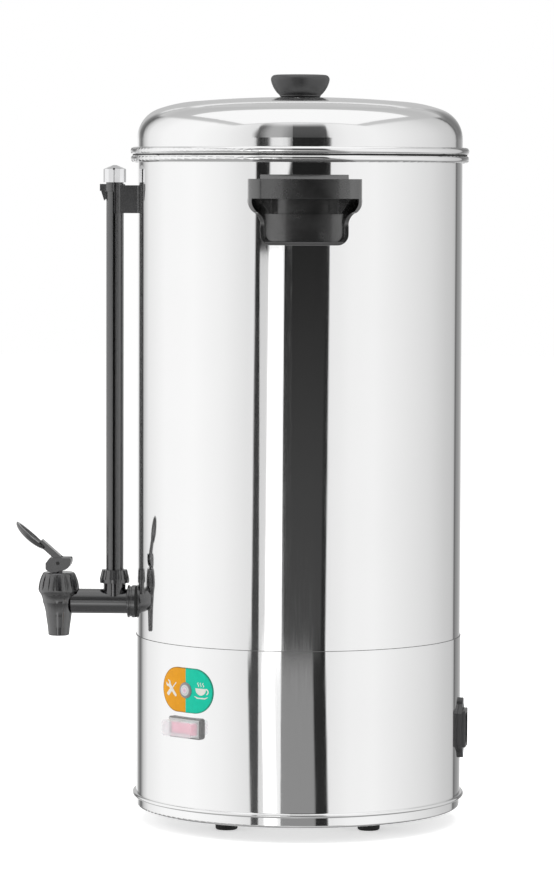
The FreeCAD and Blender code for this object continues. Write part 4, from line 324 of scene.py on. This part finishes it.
def bezel_finish():
    """The switch's frame: pale within, with a darker grey rim all round."""
    material, tree, output = new_material("switch-bezel")
    place = coordinates(tree)
    across, up = on_plate(tree, place)
    low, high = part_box("switch_housing")
    middle = (low[2] + high[2]) / 2 - SIGN_HEIGHT * MM
    beyond_side = maths(tree, "SUBTRACT", maths(tree, "ABSOLUTE", across),
                        (BEZEL_WIDTH / 2 - BEZEL_RIM) * MM)
    beyond_end = maths(tree, "SUBTRACT", maths(tree, "ABSOLUTE", maths(tree, "SUBTRACT", up, middle)),
                       (BEZEL_TALL / 2 - BEZEL_RIM) * MM)
    rim = maths(tree, "GREATER_THAN", maths(tree, "MAXIMUM", beyond_side, beyond_end), 0.0)
    cloud = noise(tree, place, 300, 3, 0.6)
    place_on_ramp = linked_mix(tree, rim, spread(tree, cloud, 0.1, 0.2), spread(tree, cloud, 0.8, 0.9))
    tone = ramp(tree, place_on_ramp, [
        (0.0, shade(0.56)), (0.25, shade(0.50)), (0.75, shade(0.20)), (1.0, shade(0.17))])
    rounded = add(tree, "ShaderNodeBevel", Radius=0.0003).outputs["Normal"]
    shader = add(tree, "ShaderNodeBsdfPrincipled", **{
        "Base Color": tone, "Roughness": spread(tree, cloud, 0.25, 0.35), "Normal": rounded})
    tree.links.new(shader.outputs[0], output.inputs[0])
    return material


def lamp_lens_finish():
    """The milky lamp lens: a pink glow of the lamp inside a paler rim with a dark line."""
    material, tree, output = new_material("lamp-lens")
    place = coordinates(tree)
    across, up = on_plate(tree, place)
    off = maths(tree, "SQRT", maths(tree, "ADD", maths(tree, "MULTIPLY", across, across),
                                    maths(tree, "MULTIPLY", up, up)))
    cloud = noise(tree, place, 500, 3, 0.6)
    uneven = maths(tree, "ADD", off, maths(tree, "MULTIPLY", cloud, 0.4 * MM))
    tone = ramp(tree, maths(tree, "DIVIDE", uneven, LENS_RADIUS * MM), [
        (0.0, (0.50, 0.33, 0.40)), (0.42, (0.66, 0.52, 0.58)), (0.55, (0.62, 0.62, 0.63)),
        (0.62, (0.34, 0.35, 0.35)), (0.72, (0.6, 0.61, 0.61)), (0.88, (0.5, 0.51, 0.51)),
        (1.0, (0.22, 0.22, 0.22))])
    shader = add(tree, "ShaderNodeBsdfPrincipled", **{
        "Base Color": tone, "Roughness": spread(tree, cloud, 0.12, 0.22)})
    tree.links.new(shader.outputs[0], output.inputs[0])
    return material


STEEL = sheet_steel("polished-steel", 0.95, 0.03, 0.07, streaks=0.25, waviness=0.004)
LID_STEEL = sheet_steel("lid-steel", 0.95, 0.07, 0.11, streaks=0.1, waviness=0.003)
INNER_STEEL = plain_metal("inner-steel", (0.68, 0.68, 0.69), 0.22, 0.36)
ZINC = plain_metal("zinc-steel", (0.62, 0.64, 0.66), 0.25, 0.42, 1400)
CHROME = plain_metal("bright-chrome", (0.93, 0.93, 0.94), 0.05, 0.12, 600, 0.000004)
BRASS = plain_metal("plain-brass", (0.80, 0.62, 0.30), 0.25, 0.4)
HANDLE_BLACK = moulded("handle-black", (0.006, 0.006, 0.006), 0.2, 0.28, ior=2.2, coat=0.6)
KNOB_BLACK = moulded("knob-black", (0.016, 0.016, 0.017), 0.36, 0.46, ior=1.8, coat=0.1)
TAP_BLACK = moulded("tap-black", (0.006, 0.006, 0.007), 0.08, 0.15, 1200, 0.000005, ior=2.0, coat=0.6)
GUARD_BLACK = moulded("guard-black", (0.01, 0.01, 0.011), 0.18, 0.26, ior=2.1, coat=0.5)
# Near-black matt finish of the strips that are painted shadow in the guard's grooves
GROOVE_SHADOW_BLACK = moulded("groove-shadow-black", (0.002, 0.002, 0.002), 0.8, 0.9, ior=1.1, edge=0.0001)
PIN_BLACK = moulded("pin-black", (0.01, 0.01, 0.01), 0.3, 0.4, edge=0.0002)
RUBBER = moulded("foot-rubber", (0.02, 0.02, 0.02), 0.6, 0.8, 900, 0.00006, 1.4)
SILICONE = moulded("white-silicone", (0.74, 0.73, 0.70), 0.4, 0.55, 800, 0.00003, edge=0.0002)
GREY = moulded("grey-plastic", (0.24, 0.24, 0.25), 0.25, 0.35, 1500, 0.00001, ior=1.8,
               lighter=1.12, edge=0.0003)
CREAM = moulded("cream-ceramic", (0.74, 0.70, 0.62), 0.4, 0.55, 900, 0.00004, lighter=1.1)
SLEEVING = moulded("lead-sleeving", (0.66, 0.63, 0.56), 0.55, 0.7, 2600, 0.00008, lighter=1.12)
ROCKER_RED = moulded("rocker-red", (0.82, 0.10, 0.25), 0.25, 0.35, 900, 0.00001, lighter=1.15)
BOOT = clear("boot-silicone", (0.93, 0.94, 0.96), 0.12, 0.24, 0.8)
LENS = lamp_lens_finish()
GLASS = clear("gauge-glass", (0.80, 0.86, 0.88), 0.02, 0.22, 0.8)
PLATE_PRINT = control_plate_finish()
BEZEL_GREY = bezel_finish()
SIGN_WHITE = moulded("sign-white", (0.64, 0.63, 0.58), 0.4, 0.5, 900, 0.00001,
                     lighter=1.12, edge=0.0001)
# Near-black of the ring under the lid's edge: painted shadow of the gap between lid and rim
GAP_SHADOW_DARK = moulded("gap-shadow-dark", (0.012, 0.012, 0.012), 0.5, 0.6, 900, 0.00001, edge=0.0001)
# Dark grey of the ring at the seam above the skirt: painted shadow of the gap in the joint
SEAM_SHADOW_GREY = moulded("seam-shadow-grey", (0.09, 0.09, 0.09), 0.4, 0.5, 900, 0.00001, edge=0.0001)

FINISHES = {
    "vessel": STEEL, "base_skirt": STEEL, "base_pan": STEEL, "lid_shell": LID_STEEL,
    "pump_well": INNER_STEEL, "boil_element": INNER_STEEL, "keep_warm_element": INNER_STEEL,
    "support_ring": INNER_STEEL, "tie_rods": ZINC, "tie_nuts": ZINC, "rubber_feet": RUBBER,
    "foot_screws": ZINC, "foot_nuts": ZINC, "handle_right": HANDLE_BLACK,
    "handle_left": HANDLE_BLACK, "handle_screws": INNER_STEEL, "handle_washers": INNER_STEEL,
    "gauge_bracket": GUARD_BLACK, "gauge_bracket_screw": INNER_STEEL, "gauge_glass": GLASS,
    "gauge_guard": GUARD_BLACK, "gauge_nut": GUARD_BLACK, "gauge_seal": SILICONE,
    "tap_shank": TAP_BLACK, "tap_gasket": RUBBER, "shank_washer": SILICONE,
    "shank_nut": INNER_STEEL, "tap_body": TAP_BLACK, "tap_bonnet": GUARD_BLACK,
    "tap_spring": INNER_STEEL, "pilot_lamp_lens": LENS, "pilot_lamp_body": GREY,
    "switch_housing": BEZEL_GREY, "switch_terminals": BRASS, "switch_boot": BOOT,
    "boil_thermostat": INNER_STEEL, "thermal_cutout": INNER_STEEL, "sensor_strap": ZINC,
    "terminal_block": CREAM, "power_inlet": KNOB_BLACK, "inlet_pins": BRASS,
    "inlet_screws": ZINC, "inlet_nuts": ZINC, "wiring_leads": SLEEVING,
    "pump_tube": INNER_STEEL, "pump_dome": INNER_STEEL, "pump_valve_disc": INNER_STEEL,
    "coffee_basket": INNER_STEEL, "basket_spreader": INNER_STEEL, "lid_ring": INNER_STEEL,
    "lid_knob": KNOB_BLACK, "knob_screw": INNER_STEEL, "tap_stem": TAP_BLACK,
    "seat_cup": SILICONE, "tap_lever": TAP_BLACK, "lever_pin": PIN_BLACK,
    "gauge_cap": CHROME, "switch_rocker": ROCKER_RED, "control_plate": PLATE_PRINT,
}
for name, material in FINISHES.items():
    mesh = nodes[name].data
    mesh.materials.clear()
    mesh.materials.append(material)


# Pieces added here: the pictograms of the signal plate, and dark pieces that are painted shadow: a ring
# at the seam above the skirt and a ring under the lid's edge for the shaded gaps there, and strips in
# the guard's grooves

def riding_piece(name, form, material, body, smooth=False):
    """Makes an object from a finished form and lets it ride on a body."""
    mesh = bpy.data.meshes.new(name)
    bmesh.ops.recalc_face_normals(form, faces=form.faces)
    form.to_mesh(mesh)
    form.free()
    for face in mesh.polygons:
        face.use_smooth = smooth
    mesh.materials.append(material)
    piece = bpy.data.objects.new(name, mesh)
    bpy.context.scene.collection.objects.link(piece)
    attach(piece, body)


def wall_between(form, lower, upper):
    """Faces between two rings of as many points."""
    for index in range(len(lower)):
        after = (index + 1) % len(lower)
        form.faces.new((lower[index], lower[after], upper[after], upper[index]))


def wrapped(across, up, radius, azimuth):
    """A point across and up a plate that is bent round the body's axis."""
    turn = math.radians(azimuth) + across / radius
    return Vector((radius * math.cos(turn), radius * math.sin(turn), up)) * MM


def thin_sign(name, outlines, azimuth, height, radius, depth=0.12):
    """Flat shapes raised a little from the plate. An outline is a ring of (across, up)."""
    form = bmesh.new()
    for outline in outlines:
        low = [form.verts.new(wrapped(x, height + y, radius - SUNK, azimuth)) for x, y in outline]
        high = [form.verts.new(wrapped(x, height + y, radius + depth, azimuth)) for x, y in outline]
        form.faces.new(high)
        form.faces.new(list(reversed(low)))
        wall_between(form, low, high)
    riding_piece(name, form, SIGN_WHITE, "urn")


def arc(x, y, radius, start, end, steps=10):
    return [(x + radius * math.cos(math.radians(start + (end - start) * step / steps)),
             y + radius * math.sin(math.radians(start + (end - start) * step / steps)))
            for step in range(steps + 1)]


def placed(outline, degrees, x, y, scale):
    """An outline that is scaled, turned and moved to its place on the plate."""
    c, s = scale * math.cos(math.radians(degrees)), scale * math.sin(math.radians(degrees))
    return [(x + px * c - py * s, y + px * s + py * c) for px, py in outline]


def spanner_outline():
    """An open-ended spanner that stands upright, its jaws at the top."""
    jaw = [(0.8, 5.4), (0.8, 3.9), (0, 3.4), (-0.8, 3.9), (-0.8, 5.4)]
    left = arc(0, 4, 1.9, 125, 235, 8)
    right = arc(0, 4, 1.9, -55, 55, 8)
    foot = arc(0, -4.6, 0.75, 180, 360, 8)
    return jaw + left + foot + right


def screwdriver_outline():
    """A screwdriver that stands upright, its grip at the bottom."""
    return [(0.35, 5.2), (-0.35, 5.2), (-0.35, 0.6), (-0.75, 0.1), (-1.05, -0.4),
            (-1.05, -4.4), (-0.6, -5), (0.6, -5), (1.05, -4.4), (1.05, -0.4), (0.75, 0.1),
            (0.35, 0.6)]


def cup_outlines():
    """A steaming cup on a saucer, its ear at the right."""
    bowl = [(-4.4, 2.2)] + arc(-0.6, 2.0, 3.8, 180, 360, 14)[1:-1] + [(3.2, 2.2)]
    ear = arc(3.1, 0.5, 1.9, -75, 90, 10) + arc(3.1, 0.5, 1.15, 90, -75, 10)
    saucer = [(-5.4, -2.6), (-3.2, -3.8), (2.4, -3.8), (4.6, -2.6),
              (3.9, -2.5), (2.1, -3.1), (-2.9, -3.1), (-4.7, -2.5)]
    steam = []
    for x in (-2.4, -0.6, 1.2):
        rise = [(x + 0.45 * math.sin(step * 1.1), 3.1 + step * 0.42) for step in range(7)]
        steam.append([(px + 0.28, py) for px, py in rise]
                     + [(px - 0.28, py) for px, py in reversed(rise)])
    return [bowl, ear, saucer, *steam]


def make_pictograms():
    tools = [placed(spanner_outline(), 45, TOOLS_ACROSS, 0, TOOL_SCALE),
             placed(screwdriver_outline(), -45, TOOLS_ACROSS, 0, TOOL_SCALE)]
    for name, outlines in (("sign-spanner", tools[:1]), ("sign-screwdriver", tools[1:])):
        thin_sign(name, outlines, PANEL_AZIMUTH, SIGN_HEIGHT, SIGN_FACE)
    cup = [placed(outline, 0, CUP_ACROSS, CUP_UP, CUP_SCALE) for outline in cup_outlines()]
    thin_sign("sign-cup", cup, PANEL_AZIMUTH, SIGN_HEIGHT, SIGN_FACE)


def ring_piece(name, profile, material, body, steps=160):
    """A ring about the body's axis from a closed profile of (radius, height)."""
    form = bmesh.new()
    rows = []
    for step in range(steps):
        turn = 2 * math.pi * step / steps
        rows.append([form.verts.new(Vector((r * math.cos(turn), r * math.sin(turn), z)) * MM)
                     for r, z in profile])
    for step, row in enumerate(rows):
        after = rows[(step + 1) % steps]
        for index in range(len(profile)):
            following = (index + 1) % len(profile)
            form.faces.new((row[index], after[index], after[following], row[following]))
    riding_piece(name, form, material, body, smooth=True)


def make_gap_shadows():
    # A dark grey ring in the joint above the skirt, painted shadow of the gap there
    ring_piece("skirt-seam-shadow", [
        (VESSEL_RADIUS - 0.1, SKIRT_TOP - 0.6), (SKIRT_RADIUS - 0.15, SKIRT_TOP - 0.3),
        (SKIRT_RADIUS - 0.2, SKIRT_TOP + 0.15), (VESSEL_RADIUS - 0.1, SKIRT_TOP + 0.45)],
               SEAM_SHADOW_GREY, "urn")
    # A near-black ring in the crevice under the lid's edge, painted shadow of the gap between lid and
    # rim
    inner, top = RIM_SHADOW_RADIUS - RIM_SHADOW_DEPTH, RIM_SHADOW_HEIGHT + RIM_SHADOW_TALL
    ring_piece("rim-gap-shadow", [
        (inner, RIM_SHADOW_HEIGHT), (RIM_SHADOW_RADIUS, RIM_SHADOW_HEIGHT),
        (RIM_SHADOW_RADIUS, top), (inner, top)], GAP_SHADOW_DARK, "urn")


def make_guard_groove_shadows():
    """Dark strips in the bottoms of the two grooves along the gauge's guard: painted shadow of the
    grooves.
    """
    low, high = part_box("gauge_guard")
    middle = (low[0] + high[0]) / 2
    axis = GAUGE_AXIS * MM
    for name, side in (("guard-groove-shadow-front", 1), ("guard-groove-shadow-back", -1)):
        near = middle + side * (GUARD_GROOVE - SUNK) * MM
        far = middle + side * (GUARD_GROOVE + GUARD_SHADOW_DEPTH) * MM
        half = GUARD_SHADOW_WIDTH / 2 * MM
        corners = [(near, -axis - half), (near, -axis + half), (far, -axis + half), (far, -axis - half)]
        levels = [low[2] + (high[2] - low[2]) * step / GUARD_STEPS for step in range(GUARD_STEPS + 1)]
        form = bmesh.new()
        rows = [[form.verts.new((x, y, z)) for x, y in corners] for z in levels]
        for lower, upper in zip(rows, rows[1:]):
            wall_between(form, lower, upper)
        form.faces.new(list(reversed(rows[0])))
        form.faces.new(rows[-1])
        riding_piece(name, form, GROOVE_SHADOW_BLACK, "urn")


# Floor, world and lamps

def step_up(tree, number, level, width):
    """Rises from 0 to 1 round a level."""
    node = add(tree, "ShaderNodeMapRange", Value=number)
    node.interpolation_type = "SMOOTHSTEP"
    node.inputs["From Min"].default_value = level - width / 2
    node.inputs["From Max"].default_value = level + width / 2
    return node.outputs["Result"]


def between(tree, number, low, high, width):
    return maths(tree, "MULTIPLY", step_up(tree, number, low, width),
                 maths(tree, "SUBTRACT", 1.0, step_up(tree, number, high, width)))


def grey_ramp(tree, number, low, high, stops):
    """A number that follows stops of (place, grey) between two ends."""
    place = maths(tree, "DIVIDE", maths(tree, "SUBTRACT", number, low), high - low)
    return ramp(tree, place, [((at - low) / (high - low), shade(grey)) for at, grey in stops])


def studio_reflection(tree):
    """What shiny surfaces see of the studio by direction: pale walls, a white backdrop behind
    the object, a softbox in a grey ceiling, and dark openings on the camera's side."""
    direction = tree.nodes.new("ShaderNodeTexCoord").outputs["Generated"]
    parts = add(tree, "ShaderNodeSeparateXYZ", Vector=direction)
    turn = math.radians(VIEW_AZIMUTH - 90)
    towards = maths(tree, "ADD", maths(tree, "MULTIPLY", parts.outputs["X"], math.cos(turn)),
                    maths(tree, "MULTIPLY", parts.outputs["Y"], math.sin(turn)))
    right = maths(tree, "ADD", maths(tree, "MULTIPLY", parts.outputs["X"], -math.sin(turn)),
                  maths(tree, "MULTIPLY", parts.outputs["Y"], math.cos(turn)))
    height = parts.outputs["Z"]
    azimuth = maths(tree, "MULTIPLY", maths(tree, "ARCTAN2", right, towards), 180 / math.pi)
    elevation = maths(tree, "MULTIPLY", maths(tree, "ARCSINE", height), 180 / math.pi)

    walls = grey_ramp(tree, azimuth, -180, 180, [
        (-180, 1.0), (-164, 0.98), (-157, 0.35), (-150, 0.13), (-143, 0.6), (-134, 0.85), (-110, 0.98),
        (-80, 1.0), (-55, 0.92), (-36, 0.8), (0, 0.95), (22, 0.84), (36, 0.92), (54, 0.94), (75, 0.86),
        (105, 0.74), (126, 0.62), (137, 0.58), (143, 0.52), (146, 0.1), (149, 0.24), (158, 0.34),
        (167, 0.55), (174, 1.0), (180, 1.0)])
    behind = step_up(tree, maths(tree, "ABSOLUTE", azimuth), 150, 20)
    shaded = maths(tree, "MULTIPLY", behind, between(tree, elevation, 2.5, 22, 5))
    walls = maths(tree, "MULTIPLY", walls, linked_mix(tree, shaded, 1.0, 0.55))
    low_down = maths(tree, "SUBTRACT", 1.0, step_up(tree, elevation, SEAM_ELEVATION, 0.08))
    raised = maths(tree, "MINIMUM", elevation, LEAN_TOP)
    leaning = maths(tree, "SUBTRACT", azimuth, maths(tree, "MULTIPLY", raised, LEAN))
    leaning_low = maths(tree, "ADD", azimuth,
                        maths(tree, "MULTIPLY_ADD", elevation, LEAN_LOW, LEAN_LOW_START))
    leaning = linked_mix(tree, low_down, leaning, leaning_low)
    outer = maths(tree, "ADD", leaning, maths(tree, "MULTIPLY", low_down, LEFT_GAP_SHIFT))
    inner = maths(tree, "ADD", leaning, maths(tree, "MULTIPLY", low_down, RIGHT_GAP_SHIFT))
    left_gap = between(tree, outer, *LEFT_GAP, GAP_EDGE)
    right_gap = maths(tree, "MULTIPLY", step_up(tree, inner, RIGHT_GAP[0], GAP_EDGE),
                      maths(tree, "SUBTRACT", 1.0, step_up(tree, leaning, RIGHT_GAP[1], GAP_EDGE)))
    narrow = maths(tree, "MAXIMUM", left_gap, right_gap)
    wide = between(tree, azimuth, *WIDE_GAP, 3)
    joined = step_up(tree, elevation, JOINED_FROM, 1.2)
    opening = linked_mix(tree, joined, narrow, wide)
    fading = maths(tree, "SUBTRACT", 1.0, step_up(tree, elevation, 47, 22))
    low_fade = step_up(tree, elevation, -22, 16)
    opening = maths(tree, "MULTIPLY", opening, maths(tree, "MULTIPLY", fading, low_fade))
    dark = grey_ramp(tree, elevation, -20, 60, [
        (-20, 0.1), (-7, 0.07), (-6, 0.06), (-4, 0.048), (-1, 0.02), (0.5, 0.012), (1.6, 0.012),
        (2.6, 0.05), (12, 0.075), (50, 0.1)])
    greyer = maths(tree, "MULTIPLY", low_down, step_up(tree, leaning, -18, 2))
    dark = linked_mix(tree, greyer, dark, 0.27)
    paler = maths(tree, "MULTIPLY", joined, between(tree, azimuth, -25, -9, 10))
    dark = linked_mix(tree, paler, dark, 0.42)
    strip = maths(tree, "MULTIPLY", step_up(tree, inner, STRIP_EDGE, GAP_EDGE),
                  maths(tree, "SUBTRACT", 1.0, joined))
    darker = linked_mix(tree, strip, dark, 0.024)
    downward = maths(tree, "SUBTRACT", 1.0, step_up(tree, elevation, -34, 26))
    low_part = maths(tree, "MULTIPLY", linked_mix(tree, opening, walls, darker),
                     linked_mix(tree, downward, 1.0, 0.42))

    above = maths(tree, "MAXIMUM", height, 0.02)
    along_ceiling = maths(tree, "DIVIDE", towards, above)
    across_ceiling = maths(tree, "ABSOLUTE", maths(tree, "DIVIDE", right, above))
    ceiling = maths(tree, "MULTIPLY", between(tree, along_ceiling, *CEILING_ALONG, 0.06),
                    maths(tree, "SUBTRACT", 1.0, step_up(tree, across_ceiling, CEILING_ACROSS, 0.2)))
    ceiling = maths(tree, "MULTIPLY", ceiling, step_up(tree, height, 0.05, 0.05))
    softbox = maths(tree, "MULTIPLY", between(tree, along_ceiling, *SOFTBOX_ALONG, 0.03),
                    maths(tree, "SUBTRACT", 1.0, step_up(tree, across_ceiling, SOFTBOX_ACROSS, 0.03)))
    grey = grey_ramp(tree, along_ceiling, -2.2, 0.8, [
        (-2.2, 0.16), (-1.9, 0.6), (-1.2, 0.52), (0.8, 0.6)])
    overhead = linked_mix(tree, softbox, grey, 1.0)
    return linked_mix(tree, ceiling, low_part, overhead)


def make_world():
    world = bpy.data.worlds.new("studio-world")
    bpy.context.scene.world = world
    world.use_nodes = True
    tree = world.node_tree
    tree.nodes.clear()
    path = tree.nodes.new("ShaderNodeLightPath")
    white = maths(tree, "MAXIMUM", path.outputs["Is Camera Ray"], path.outputs["Is Transmission Ray"])
    soft = add(tree, "ShaderNodeBackground", Color=(1, 1, 1, 1), Strength=SKY_GLOW)
    shown = add(tree, "ShaderNodeBackground", Color=(1, 1, 1, 1), Strength=1.0)
    seen = add(tree, "ShaderNodeBackground", Color=studio_reflection(tree), Strength=1.0)
    for_glossy = add(tree, "ShaderNodeMixShader", Fac=path.outputs["Is Glossy Ray"])
    tree.links.new(soft.outputs[0], for_glossy.inputs[1])
    tree.links.new(seen.outputs[0], for_glossy.inputs[2])
    mix = add(tree, "ShaderNodeMixShader", Fac=white)
    tree.links.new(for_glossy.outputs[0], mix.inputs[1])
    tree.links.new(shown.outputs[0], mix.inputs[2])
    output = tree.nodes.new("ShaderNodeOutputWorld")
    tree.links.new(mix.outputs[0], output.inputs[0])


def make_floor():
    """A pale floor that the camera sees as white where no shadow falls on it."""
    mesh = bpy.data.meshes.new("studio-floor")
    corners = [(x * FLOOR_HALF, y * FLOOR_HALF, 0) for x, y in ((-1, -1), (1, -1), (1, 1), (-1, 1))]
    mesh.from_pydata(corners, [], [(0, 1, 2, 3)])
    floor = bpy.data.objects.new("studio-floor", mesh)
    bpy.context.scene.collection.objects.link(floor)
    material, tree, output = new_material("floor-paint")
    soft = noise(tree, coordinates(tree), 3, 3, 0.5)
    tone = ramp(tree, soft, [(0.3, shade(0.88)), (0.7, shade(0.9))])
    matt = add(tree, "ShaderNodeBsdfDiffuse", Color=tone)
    glow = add(tree, "ShaderNodeEmission", Color=(1, 1, 1, 1), Strength=FLOOR_GLOW)
    both = tree.nodes.new("ShaderNodeAddShader")
    tree.links.new(matt.outputs[0], both.inputs[0])
    tree.links.new(glow.outputs[0], both.inputs[1])
    path = tree.nodes.new("ShaderNodeLightPath")
    mix = add(tree, "ShaderNodeMixShader", Fac=path.outputs["Is Camera Ray"])
    tree.links.new(matt.outputs[0], mix.inputs[1])
    tree.links.new(both.outputs[0], mix.inputs[2])
    tree.links.new(mix.outputs[0], output.inputs[0])
    mesh.materials.append(material)
    floor.visible_glossy = False


def make_lamp(name, azimuth, distance, height, width, tall, power):
    """An area lamp that points at the middle of the object, in degrees, metres and watts."""
    turn = math.radians(azimuth)
    data = bpy.data.lights.new(name, "AREA")
    data.shape = "RECTANGLE"
    data.size = width
    data.size_y = tall
    data.energy = power
    lamp = bpy.data.objects.new(name, data)
    lamp.location = (distance * math.cos(turn), distance * math.sin(turn), height)
    aim = Vector((0, 0, AIM_HEIGHT)) - lamp.location
    lamp.rotation_euler = aim.to_track_quat("-Z", "Y").to_euler()
    bpy.context.scene.collection.objects.link(lamp)
    lamp.visible_glossy = False


def make_card(name, azimuth, distance, height, width, tall):
    """A small upright white card by the camera, which shiny black parts show as a bright band."""
    make_lamp(name, azimuth, distance, height, width, tall, CARD_GLOW * math.pi * width * tall)
    card = bpy.data.objects[name]
    turn = math.radians(azimuth)
    inward = Vector((-math.cos(turn), -math.sin(turn), 0))
    card.rotation_euler = inward.to_track_quat("-Z", "Y").to_euler()
    card.visible_glossy = True
    card.visible_camera = False


def make_lamps():
    facing = VIEW_AZIMUTH - 90
    make_lamp("softbox-left", facing - 95, 2.2, 0.8, 1.5, 2.0, 26)
    make_lamp("softbox-right", facing + 60, 2.4, 0.7, 1.2, 1.8, 16)
    make_lamp("softbox-top", facing, 0.1, 2.6, 2.4, 2.6, 45)
    make_card("front-card", facing - 19, 1.5, -0.05, 0.4, 1.0)


def make_camera():
    azimuth = math.radians(VIEW_AZIMUTH)
    back = Vector((math.sin(azimuth), -math.cos(azimuth), 0))
    ahead = -back * math.cos(CAMERA_PITCH) - Vector((0, 0, 1)) * math.sin(CAMERA_PITCH)
    yaw = math.atan(AXIS_RIGHT_OF_CENTRE / FOCAL_PIXELS)
    ahead.rotate(Matrix.Rotation(yaw, 3, "Z"))
    right = ahead.cross(Vector((0, 0, 1))).normalized()
    up = right.cross(ahead)
    rolled_right = right * math.cos(CAMERA_ROLL) + up * math.sin(CAMERA_ROLL)
    rolled_up = up * math.cos(CAMERA_ROLL) - right * math.sin(CAMERA_ROLL)
    data = bpy.data.cameras.new("photo-camera")
    data.lens = FOCAL_PIXELS * SENSOR_WIDTH / PHOTO_HEIGHT
    data.clip_end = CLIP_END
    camera = bpy.data.objects.new("photo-camera", data)
    bpy.context.scene.collection.objects.link(camera)
    turned = Matrix((rolled_right, rolled_up, -ahead)).transposed().to_4x4()
    place = back * CAMERA_DISTANCE + Vector((0, 0, CAMERA_HEIGHT))
    camera.matrix_world = Matrix.Translation(place) @ turned
    bpy.context.scene.camera = camera


make_pictograms()
make_gap_shadows()
make_guard_groove_shadows()
make_world()
make_floor()
make_lamps()
make_camera()
bpy.context.scene.view_settings.view_transform = "Standard"
